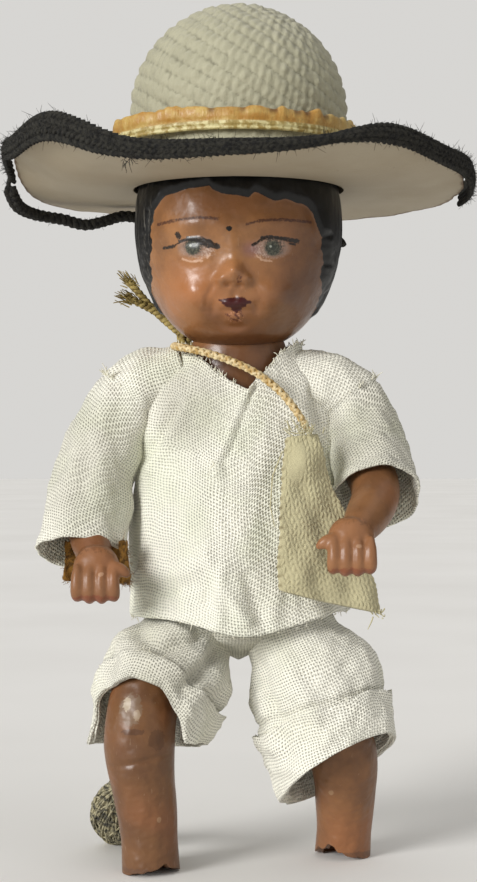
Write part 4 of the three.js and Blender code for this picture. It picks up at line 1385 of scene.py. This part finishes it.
class DOLL_OT_trousers(DollOperator):
    """Sew the trousers: a waist, two wide legs and their turned-up cuffs"""

    bl_idname = "doll.trousers"
    bl_label = "Trousers"

    def make(self, scene):
        cloth = scene.doll_cloth
        waist_line = Line(*WAIST[0])

        def waist(s, t):
            angle = TURN * s - math.pi / 2
            return waist_line.ring(t, angle, between(WAIST[1][0], t), between(WAIST[1][1], t))

        parts = [surface("waist", 80, 16, waist, cloth_map)]
        hems = []
        for side in ("right", "left"):
            parts.append(surface("trouser_leg", 112, 72, trouser_place(side, False), cloth_map))
        for part in parts:
            modified(part, "SOLIDIFY", thickness=cloth.wall, offset=-1.0)
        for side in ("right", "left"):
            parts.append(surface("cuff", 124, 46, trouser_place(side, True), cloth_map))
            s = np.linspace(0, 1, 200)
            hems.append(trouser_place(side, True)(s[None], np.full((1, 200), 0.1))[0])
        trousers = joined("trousers_cloth", *parts)
        finish = cotton_finish("Trouser cotton", cloth, tone("e3e1cc"), TROUSER_PAINTED_SHADE)
        settle(trousers, finish, "cotton", "trousers")
        edge = np.concatenate(hems)
        lines = frays(edge, np.tile([0.0, -0.2, 1.0], (len(edge), 1)), 60, 0.9, 91)
        loose = threads("trouser_frays", list(lines), 0.18, 0.6, 0)
        settle(loose, thread_finish("Loose trouser cotton", tuple(cloth.cotton), tone("cfcbb4")), "cotton")


# ---------------------------------------------------------------- hat


CORD_AXIS = (0.66, -0.12, 1.0)  # the rows of cord ring this way, which slants them
CORD_TWIST = 1.45  # mm of cord from one twist to the next


def crown_place(row_pitch):
    """The hollow dome, from its inner top down, round its foot and up, with rows of twisted cord outside."""
    centre = np.array([0.0, 0.0, 126.0])
    axis = unit(np.array(CORD_AXIS))
    east = unit(np.cross(axis, [0.0, 1.0, 0.0]))
    north = np.cross(axis, east)
    radius, wall = CROWN["radius"], CROWN["wall"]
    heights = CROWN["top"] - CROWN["spring"]

    def profile(r, rise, flare):
        a = np.linspace(0, math.pi / 2, 30)
        arc = np.stack([r * np.cos(a) ** 1.04, CROWN["spring"] + rise * np.sin(a)], -1)
        arc[-1, 0] = 0
        halfway = (CROWN["neck"] + CROWN["foot"]) / 2
        low = [(r + flare, CROWN["foot"]), (r + flare * 0.35, halfway), (r, CROWN["neck"])]
        return np.vstack([low, arc])

    outer = profile(radius, heights, CROWN["flare"])
    inner = profile(radius - wall, heights - wall, CROWN["flare"])[::-1]
    run = np.vstack([inner, outer])
    lengths = np.concatenate([[0], np.cumsum(np.linalg.norm(np.diff(run, axis=0), axis=1))])
    share_at = np.where(np.arange(len(run)) < len(inner), lengths / lengths[len(inner) - 1] * 0.09, 0.0)
    rest = lengths[len(inner):] - lengths[len(inner)]
    share_at[len(inner):] = 0.1 + 0.9 * rest / rest[-1]

    def place(s, t):
        r, z = np.interp(t, share_at, run[:, 0]), np.interp(t, share_at, run[:, 1])
        angle = TURN * s
        points = np.stack([r * np.sin(angle), -r * np.cos(angle), z], -1)
        out = unit(points - centre)
        polar = np.arccos(np.clip(out @ axis, -1, 1))
        polar = polar + 0.012 * ripple(points, 16, 101)
        rows = radius * polar / row_pitch
        row = np.floor(rows)
        part = rows - row - 0.5
        ring = TURN * radius * np.sin((row + 0.5) * row_pitch / radius)
        count = np.maximum(np.round(np.abs(ring) / CORD_TWIST), 3)
        around = np.arctan2(out @ north, out @ east) / TURN
        phase = around * count + row * 0.37 - 0.62 * part + 0.12 * ripple(points, 3, 102)
        lump = 0.5 + 0.5 * np.cos(TURN * phase)
        rib = 0.25 + 0.75 * np.maximum(0, 1 - (2 * part) ** 2) ** 0.6
        raised = rib * (0.5 + 0.5 * lump)
        raised = raised * (1 + 0.25 * ripple(points, 2.2, 103))
        cloth = (t > 0.12) * step(CROWN["neck"] - 1, CROWN["neck"] + 1, z)
        crest = step(0, 1.0, CROWN["top"] - z + 0.5)
        points = points + out * ((raised - 0.75) * 0.5 * cloth * crest)[..., None]
        return points, {"raise": np.where(cloth > 0.5, raised, 0.6)}

    return place


def brim_rise(deg):
    """How far the brim's edge lifts at an angle from the front, in mm."""
    return (
        5.6 * bell(deg + 52, 20) + 5.0 * bell(deg + 84, 16) + 3.8 * bell(deg - 36, 20)
        + 1.6 * bell(deg - 70, 16) - 0.8 * bell(deg - 140, 40)
    )


def brim_point(deg, share, height):
    """A place on the brim, at a share of the way from its hole to its edge."""
    angle = np.radians(deg)
    side, front = np.sin(angle), np.cos(angle)
    x = mix(HOLE["across"], BRIM["radius"], share) * side
    y = mix(HOLE["deep"], BRIM["radius"], share) * -front + BRIM["y"] * share
    return np.stack([x, y, BRIM["z"] + height + brim_rise(deg) * share**3], -1)


def brim_place(s, t):
    """The brim's card, from the hole out on one face and back on the other."""
    deg = (s - 0.5) * 360
    share = np.interp(t, [0, 0.44, 0.5, 0.94, 1.0], [0, 1, 1, 0, 0])
    height = np.interp(t, [0, 0.44, 0.5, 0.94, 1.0], [0, 0, 1, 1, 0]) * BRIM["thick"]
    points = brim_point(deg, share, height)
    points[..., 2] += 0.16 * ripple(points * [1, 1, 0], 14, 111) * step(0.1, 0.5, share)
    edge = bell(share - 1, 0.004)
    points[..., :2] += (0.12 * edge * ripple(points, 2.0, 112))[..., None] * unit(points[..., :2])
    return points, {"raise": share}


class DOLL_OT_crown(DollOperator):
    """Work the crown in slanting rows of twisted cotton cord"""

    bl_idname = "doll.crown"
    bl_label = "Crown"

    def make(self, scene):
        hat = scene.doll_hat
        crown = surface("crown_cords", 294, 208, crown_place(hat.row_pitch / MM))
        finish = yarn_finish("Crown cord", tuple(hat.cord), tone("6b6851"), fibre=3.5, rough=0.55, depth=0.16)
        settle(crown, finish, "crown_cord", "hat_crown")


class DOLL_OT_brim(DollOperator):
    """Shape the brim card and its worn edge"""

    bl_idname = "doll.brim"
    bl_label = "Brim"

    def make(self, scene):
        brim = surface("brim_sheet", 220, 50, brim_place)
        bpy.ops.object.shade_smooth_by_angle(angle=math.radians(50))
        f = Finish("Brim card", Roughness=0.7)
        place = f.place()
        # The card's colour is darkened from its white as painted shade for the brim's underside.
        card = tuple(scene.doll_hat.card)
        colour = f.patches(place, 0.05, card, toned(card, "8b7a5e", 0.35), 0.4, 0.7)
        fibres = f.noise(f.vector("MULTIPLY", place, (0.6, 3.0, 3.0)), 1.0, 3.0, 0.6)
        colour = f.cover(colour, f.band(fibres, 0.55, 0.75), 0.15, tone("83745a"))
        ragged = f.times(f.math("SUBTRACT", f.noise(place, 0.6, 4.0, 0.7), 0.5), 0.09)
        worn_edge = f.band(f.math("ADD", f.field("raise"), ragged), 0.965, 1.0)
        colour = f.cover(colour, worn_edge, 0.8, tone("5b4028"))
        spots = f.band(f.noise(place, 0.55, 3.0, 0.6), 0.7, 0.76)
        f.colour(f.cover(colour, spots, 0.35, tone("5f5138")))
        f.relief(f.noise(place, 1.6, 4.0, 0.7), 0.06)
        settle(brim, f.material, "brim_card", "hat_brim")


def band_place(s, t):
    """The gathered braid round the crown, which stands off it at the left front."""
    angle = TURN * s
    corner = TURN * t
    inside = CROWN["radius"] + GAP
    lumps = np.stack([np.sin(angle), -np.cos(angle), 0 * angle], -1) * 19
    pucker = ripple(lumps, 2.6, 121, 2)
    fine = ripple(lumps + (corner / 9)[..., None], 1.6, 122, 1)
    section = [np.abs(way) ** 0.7 * np.sign(way) for way in (np.cos(corner), np.sin(corner))]
    out = 0.5 - 0.5 * section[0]
    up = 0.5 + 0.5 * section[1]
    belly = out * (BAND["thick"] * (0.8 + 0.13 * pucker * step(0.2, 0.9, up)) + 0.07 * fine)
    groove = -0.34 * bell(up - 0.34, 0.05) - 0.3 * bell(up - 0.16, 0.05)
    loose = bell(turned_by(angle, -1.08), 0.42) * 2.5
    r = inside + np.clip(belly + groove * out, 0, BAND["thick"] + 0.1) + loose
    z = BAND["bottom"] + 0.8 + up * (BAND["height"] - 0.3) + 0.34 * pucker * step(0.6, 1, up) - 0.2 * loose
    fields = {"raise": up, "pucker": np.clip(0.5 + 0.5 * pucker, 0, 1)}
    return np.stack([r * np.sin(angle), -r * np.cos(angle), z], -1), fields


class DOLL_OT_band(DollOperator):
    """Gather the puckered band with its piped lower edge"""

    bl_idname = "doll.band"
    bl_label = "Band"

    def make(self, scene):
        band = surface("puckered_band", 330, 40, band_place)
        face_outwards()
        f = Finish("Gold band", Sheen_Weight=0.1)
        place = f.place()
        gold = tuple(scene.doll_hat.gold)
        body = f.patches(place, 0.45, gold, tone("c0a25c"), 0.35, 0.7, 4.0, 0.6)
        # Painted shade in the pucker folds of the band's upper part.
        crease = f.times(f.band(f.field("pucker"), 0.42, 0.1), f.band(f.field("raise"), 0.55, 0.95))
        body = f.cover(body, crease, 0.85, tone("5f3c12"))
        pale = f.patches(place, 0.9, tone("cfc48f"), tone("9d8749"), 0.4, 0.6, 2.0)
        body = f.blend(f.band(f.field("raise"), 0.42, 0.34), body, pale)
        faded = f.band(f.parts(place)[0], 12.0, 19.0)
        f.colour(f.cover(body, faded, 0.5, tone("c6b170")))
        f.roughness(f.band(f.noise(place, 1.2, 2.0), 0.3, 0.7, 0.35, 0.6))
        f.relief(f.noise(f.vector("MULTIPLY", place, (1, 1, 0.35)), 2.2, 3.0, 0.6), 0.16)
        settle(band, f.material, "gold_braid", "hat_band")


def trim_at(deg, height):
    """Places on the outer face of the brim's flat braid, at a height of -1 to 1, and the way outward."""
    reach = 1 + (GAP + TRIM["thick"] / 2) / (BRIM["radius"] - HOLE["across"])
    at = brim_point(deg, np.ones_like(deg), BRIM["thick"] / 2)
    at[..., :2] = brim_point(deg, np.full_like(deg, reach), 0)[..., :2]
    out = np.stack([np.sin(np.radians(deg)), -np.cos(np.radians(deg)), 0 * deg], -1)
    half = np.interp(
        deg, [-97, -92, -80, -60, -45, -35, -26, 0, 21, 35, 60, 70, 101],
        [0.9, 1.4, 1.9, 2.3, 2.7, 2.5, 1.85, 1.4, 0.9, 1.85, 1.85, 2.0, 2.0],
    )
    lift = 0.65 * bell(deg + 44, 15) + 0.45 * bell(deg, 16)
    rise = lift + height * (half - 0.4)
    return at + UP * rise[..., None] + out * (0.4 * (1 - height**2))[..., None], out


class DOLL_OT_brim_braid(DollOperator):
    """Braid the dark fuzzy trim round the front of the brim"""

    bl_idname = "doll.brim_braid"
    bl_label = "Brim braid"

    def make(self, scene):
        draw = np.random.default_rng(131)
        stitches = []
        for row in range(4):
            starts = np.arange(TRIM["from"], TRIM["to"], 1.5) + 0.75 * (row % 2)
            height = (row - 1.5) / 1.5 * 0.8
            slant = (0.24 if row % 2 else -0.24) * (1 if row in (1, 2) else 0.6)
            for start in starts + draw.normal(size=len(starts)) * 0.12:
                share = np.linspace(-1, 1, 5)
                at, out = trim_at(start + share * 1.15, height + share * slant)
                stitches.append(at + out * (0.3 * (1 - share**2) - 0.1)[:, None])
        deg = np.linspace(TRIM["from"], TRIM["to"], 200)
        backing = [trim_at(deg, np.full_like(deg, height))[0] for height in (-0.7, -0.25, 0.25, 0.7)]
        core = joined(
            "braid_strands",
            threads("stitches", stitches, 0.85, sides=2),
            threads("backing", backing, 0.9, sides=1),
        )
        count = 2700
        height = draw.uniform(-1.0, 1.0, count)
        at, out = trim_at(draw.uniform(TRIM["from"], TRIM["to"], count), height)
        way = unit(out + UP * height[:, None] * 1.1)
        fuzz = threads("braid_fuzz", hairs(at + 0.3 * way, way, 0.75, 0.8, 132), 0.08, 0.4, 0)
        end = trim_at(np.array([TRIM["from"] + 1.0]), np.zeros(1))[0][0]
        wisps = [
            Line(end + 0.3 * draw.normal(size=3), end + [-0.5, 0.6, -1.2], LOOSE_BRAID[0]).points[::8]
            for _ in range(3)
        ]
        bridge = threads("braid_end", wisps, 0.8, sides=2)
        tuft_at = np.tile([(-16.9, -36.6, 114.2)], (16, 1)) + 0.4 * draw.normal(size=(16, 3))
        hanging = np.tile([(-0.1, -0.1, -1.0)], (16, 1))
        tuft = threads("braid_tuft", hairs(tuft_at, hanging, 1.6, 0.4, 134), 0.1, 0.5, 0)
        braid = joined("brim_braid_yarn", core, fuzz, bridge, tuft)
        settle(braid, dark_yarn(scene.doll_hat), "dark_braid", "brim_braid")


# ---------------------------------------------------------------- bag and small pieces

BAG = {"top": 72.6, "low": 45.1, "x": 10.3, "low_x": 14.8, "y": -13.2, "low_y": -13.7, "thick": 2}
BAG_WIDTH = [5.6, 8.6, 12.4, 15.6, 18.0]
STITCH_DOWN = 1.05  # mm from one knit stitch to the next down the bag
SEAM_PITCH = 1.5


def bag_place(stitch):
    """The flat pouch with columns of knit stitches, a bound left edge and a flap of plain cord."""
    line = Line(
        (BAG["x"], BAG["y"], BAG["top"]),
        (BAG["x"] + 1.2, BAG["y"] - 0.4, 62),
        (BAG["low_x"], BAG["low_y"], BAG["low"]),
    )
    turn = np.array([0.4, -1.0, 0.0])

    def place(s, t):
        angle = TURN * s
        height = np.interp(t, [0, 0.03, 0.97, 1.0], [0, 0, 1, 1])
        close = np.interp(t, [0, 0.03, 0.97, 1.0], [0, 1, 1, 0])
        share = height + height**3 * 3.9 * np.cos(angle) * close / line.length
        half = between(BAG_WIDTH, share) / 2
        thick = BAG["thick"] / 2 * (0.75 + 0.25 * np.abs(np.sin(angle)))
        c, w = np.cos(angle), np.sin(angle)
        points = line.ring(share, angle, half * close, thick * close, reference=turn)
        across = c * half
        down = share * line.length
        cell = across / stitch + 0.12 * ripple(points, 4.5, 145)
        part = cell - np.floor(cell) - 0.5
        leg = np.abs(np.abs(part) - 0.25) / 0.25
        phase = down / STITCH_DOWN - np.abs(part) * 1.3 + 0.2 * ripple(points, 3.5, 141) + 0.5 * (np.floor(cell) % 2)
        lump = 0.5 + 0.5 * np.cos(TURN * phase)
        rib = np.maximum(0, 1 - leg**2) ** 0.5
        raised = (0.3 + 0.7 * rib * (0.35 + 0.65 * lump)) * (1 + 0.15 * ripple(points, 3, 142))
        left = step(0.8, 0.95, -c)
        edge = 0.5 + 0.5 * np.cos(TURN * down / SEAM_PITCH)
        raised = mix(raised, edge, left * 0.8)
        flap = bell(np.hypot((across + 1.6 + 0.2 * (down - 5)) / 1.5, (down - 4.6) / 3.6), 1.0) * (w > 0)
        raised = mix(raised, 0.85 + 0.08 * ripple(points, 2, 143), step(0.3, 0.6, flap))
        _, way = line.along(share)
        side = unit(np.cross(np.broadcast_to(turn, way.shape), way))
        face = np.cross(way, side)
        out = unit(side * (c * 0.4)[..., None] + face * np.sign(w)[..., None] * np.abs(w)[..., None] ** 0.5)
        sag = 0.5 * ripple(points * [1, 0.2, 1], 9, 144) * close
        lift = (raised - 0.6) * 0.36 * close + 0.35 * flap
        points = points + out * lift[..., None] + face * (sag * 0.8)[..., None]
        points = points + side * (0.25 * left * np.cos(TURN * down / SEAM_PITCH) * close)[..., None]
        return points, {"raise": raised}

    return place


class DOLL_OT_bag(DollOperator):
    """Knit the flat bag with its gathered mouth"""

    bl_idname = "doll.bag"
    bl_label = "Bag"

    def make(self, scene):
        bag = scene.doll_bag
        knit = surface("bag_knit", 276, 150, bag_place(bag.stitch / MM))
        face_outwards()
        draw = np.random.default_rng(151)
        mouth = np.array([(10.9, -13.8, 73.0)]) + draw.normal(size=(30, 3)) * [1.0, 0.5, 0.5]
        tuft = hairs(mouth, np.tile([(0.15, -0.2, 1.0)], (30, 1)), 2.4, 0.35, 152)
        loose = [np.array([(7.2, -14.6, 70), (5.6, -15.0, 66), (5.2, -15.2, 61), (6.0, -15.0, 57.5)])]
        corner_at = np.array([(23.2, -11.2, 43.2)]) + 0.6 * draw.normal(size=(12, 3))
        corner = hairs(corner_at, np.tile([(0.5, -0.2, -1.0)], (12, 1)), 1.0, 0.5, 153)
        yarn = threads("bag_loose_yarn", [*tuft, *loose, *corner], 0.26, 0.5, 1)
        knitted = len(knit.data.vertices)
        pouch = joined("knitted_bag", knit, yarn)
        layer = pouch.data.attributes["raise"]
        values = np.empty(len(pouch.data.vertices))
        layer.data.foreach_get("value", values)
        values[knitted:] = 0.8
        layer.data.foreach_set("value", values)
        settle(pouch, yarn_finish("Bag yarn", tuple(bag.yarn), tone("8b7f5e"), depth=0.14), "bag_weave", "bag")


class DOLL_OT_knot(DollOperator):
    """Tie the strap's knot behind the neck and splay its cut tail"""

    bl_idname = "doll.knot"
    bl_label = "Strap knot"

    def make(self, scene):
        draw = np.random.default_rng(161)
        a = np.linspace(0, TURN * 1.6, 60)
        centre = np.array([-9.6, 10.2, 90.2])
        loop = centre + np.stack([0.95 * np.sin(a), 0.8 * np.cos(a * 1.5), 0.95 * np.cos(a)], -1)
        other = centre + np.stack([0.85 * np.cos(a), 0.85 * np.sin(a), 0.8 * np.sin(a * 1.5)], -1)
        roots = [Line(centre, middle, end).points[::8] for middle, end in (
            ((-8.6, 9.6, 89.0), (-6.2, 8.9, 87.9)), ((-9.8, 8.6, 89.2), (-8.8, 6.6, 88.2)),
        )]
        pieces = [threads("knot_loops", [loop, other], 1.0, 1.0, 3), threads("knot_roots", roots, 0.9, 1.0, 2)]
        splay = []
        for end, seed in (((-19.6, 10.6, 100.2), 162), ((-19.6, 9.8, 97.2), 163)):
            tail = Line(centre, (-14.6, 11.4, 94.6), end)
            lines = plait(tail, 3.0, 0.42, 0.3)
            pieces.append(threads("knot_tail", lines, 0.85, 0.9, 2))
            way = unit(np.array(end) - tail.points[-20])
            at = np.array(end) + draw.normal(size=(46, 3)) * [0.45, 0.35, 0.45]
            splay.extend(hairs(at - way, np.tile(way, (46, 1)), 3.0, 0.25, seed, 5, 0.22))
        pieces.append(threads("knot_ends", splay, 0.22, 0.5, 0))
        knot = joined("strap_knot_cord", *pieces)
        finish = thread_finish("Knot cord", tone("a38f52"), tone("6f5c2c"), rough=0.75, scale=0.7)
        settle(knot, finish, "strap_cord", "strap_knot")


SCRAP = {"length": 16.5, "height": 7, "thick": 0.9, "radius": 5.2, "flare": 0.2, "at": (-25.6, -6.1, 51.4)}


class DOLL_OT_wrist_scrap(DollOperator):
    """Felt the brown scrap tucked round the back of the right wrist"""

    bl_idname = "doll.wrist_scrap"
    bl_label = "Wrist scrap"

    def make(self, scene):
        def place(s, t):
            along = (s - 0.5) * SCRAP["length"]
            fold = TURN * t
            out = 0.5 * SCRAP["thick"] * np.cos(fold)
            up = (SCRAP["height"] / 2) * np.clip(1.15 * np.sin(fold), -1, 1)
            out = out * np.minimum(1, 8 * np.minimum(s, 1 - s))
            ragged = 0.45 * ripple(np.stack([along, up, 0 * up], -1), 2.2, 171)
            radius = SCRAP["radius"] + out - SCRAP["flare"] * np.minimum(0, up + 0.4)
            radius = radius + 0.34 * np.maximum(0, along - 1)
            radius = radius + 0.14 * ripple(np.stack([along, up, out * 3], -1), 1.4, 172)
            angle = along / SCRAP["radius"] + 0.7
            z = up * (1 + 0.08 * ragged) + 0.3 * np.sin(along * 1.9)
            return np.stack([radius * np.sin(angle), radius * np.cos(angle), z], -1) + SCRAP["at"]

        felt = surface("felt", 76, 50, place)
        face_outwards()
        draw = np.random.default_rng(173)
        co, normals = points_of(felt), normals_of(felt)
        pick = draw.integers(0, len(co), 700)
        fuzz = threads("felt_fuzz", hairs(co[pick], normals[pick], 0.9, 0.7, 174), 0.09, 0.4, 0)
        scrap = joined("felt_scrap", felt, fuzz)
        finish = thread_finish("Brown felt", tone("9c6f2b"), tone("56390f"), scale=0.9, depth=0.2)
        settle(scrap, finish, "felt", "wrist_scrap")


STRAWS = 230
PAD = {
    "at": (-19.4, 3.4, 6.2), "half_width": 6.6, "half_length": 11.6, "half_thick": 2.8, "lean": 54, "turn": -8,
}


def pad_shape(x, y, z):
    """A place on the pad's egg, from a place on a ball."""
    px = x * PAD["half_width"] * (1 + 0.16 * y)
    py = -z * PAD["half_thick"]
    pz = y * PAD["half_length"] * (1 + 0.34 * step(0, 0.6, y))
    turn, lean = math.radians(PAD["turn"]), math.radians(PAD["lean"])
    # turned about the front axis, then leant about the side axis
    qx = px * math.cos(turn) - pz * math.sin(turn)
    qz = pz * math.cos(turn) + px * math.sin(turn)
    ry = py * math.cos(lean) - qz * math.sin(lean)
    rz = py * math.sin(lean) + qz * math.cos(lean)
    return np.stack([qx, ry, rz], -1) + PAD["at"]


class DOLL_OT_calf_pad(DollOperator):
    """Weave the straw pad behind the right calf"""

    bl_idname = "doll.calf_pad"
    bl_label = "Calf pad"

    def make(self, scene):
        def egg(s, t):
            height = -np.cos(math.pi * t)
            r = np.sqrt(np.maximum(0, 1 - height**2))
            angle = TURN * s
            points = pad_shape(r * np.sin(angle) * 0.93, height * 0.95, r * np.cos(angle) * 0.9)
            points = points + unit(points - PAD["at"]) * (0.18 * ripple(points, 1.6, 181))[..., None]
            points[..., 2] = np.maximum(points[..., 2], 0.02)
            return points

        core = surface("pad_core", 64, 56, egg)
        face_outwards()
        draw = np.random.default_rng(182)
        lines = []
        for _ in range(STRAWS):
            way = unit(draw.normal(size=3) * [0.35, 1.0, 0.5])
            start = unit(draw.normal(size=3))
            side = unit(np.cross(start, way))
            a = np.linspace(-1, 1, 9) * draw.uniform(0.3, 0.95)
            ball = start * np.cos(a)[:, None] + np.cross(side, start) * np.sin(a)[:, None]
            shell = pad_shape(*(ball * draw.uniform(0.93, 0.99)).T)
            shell[:, 2] = np.maximum(shell[:, 2], 0.2)  # above the ground, by half a straw
            lines.append(shell)
        straw = threads("pad_straw", lines, 0.42, 0.7, 1)
        pad = joined("straw_pad", core, straw)
        finish = thread_finish("Straw fibre", tone("a39b7c"), tone("32302a"), rough=0.8, scale=0.8, depth=0.12)
        settle(pad, finish, "straw", "calf_pad")


# ---------------------------------------------------------------- panel

OPERATORS = [
    DOLL_OT_stage, DOLL_OT_loose_braid, DOLL_OT_strap, DOLL_OT_head, DOLL_OT_arms, DOLL_OT_legs, DOLL_OT_trousers,
    DOLL_OT_shirt, DOLL_OT_crown, DOLL_OT_band, DOLL_OT_brim, DOLL_OT_brim_braid, DOLL_OT_bag, DOLL_OT_knot,
    DOLL_OT_wrist_scrap, DOLL_OT_calf_pad,
]
SETTINGS = {
    "doll_figure": DollFigure, "doll_cloth": DollCloth, "doll_hat": DollHat, "doll_bag": DollBag,
    "doll_stage": DollStage,
}


class DOLL_PT_panel(Panel):
    """Lists the doll's sizes, colours and pieces"""

    bl_idname = "DOLL_PT_panel"
    bl_label = "Folk Costume Doll"
    bl_space_type = "VIEW_3D"
    bl_region_type = "UI"
    bl_category = "Doll"

    def draw(self, context):
        for key, kind in SETTINGS.items():
            box = self.layout.box()
            for name in kind.__annotations__:
                box.prop(getattr(context.scene, key), name)
        for operator in OPERATORS:
            self.layout.operator(operator.bl_idname)


def register():
    for kind in (*SETTINGS.values(), *OPERATORS, DOLL_PT_panel):
        bpy.utils.register_class(kind)
    for key, kind in SETTINGS.items():
        setattr(bpy.types.Scene, key, PointerProperty(type=kind))


def unregister():
    for key in SETTINGS:
        delattr(bpy.types.Scene, key)
    for kind in reversed((*SETTINGS.values(), *OPERATORS, DOLL_PT_panel)):
        bpy.utils.unregister_class(kind)


def main():
    register()
    for operator in OPERATORS:
        family, name = operator.bl_idname.split(".")
        getattr(getattr(bpy.ops, family), name)()


if __name__ == "__main__":
    main()
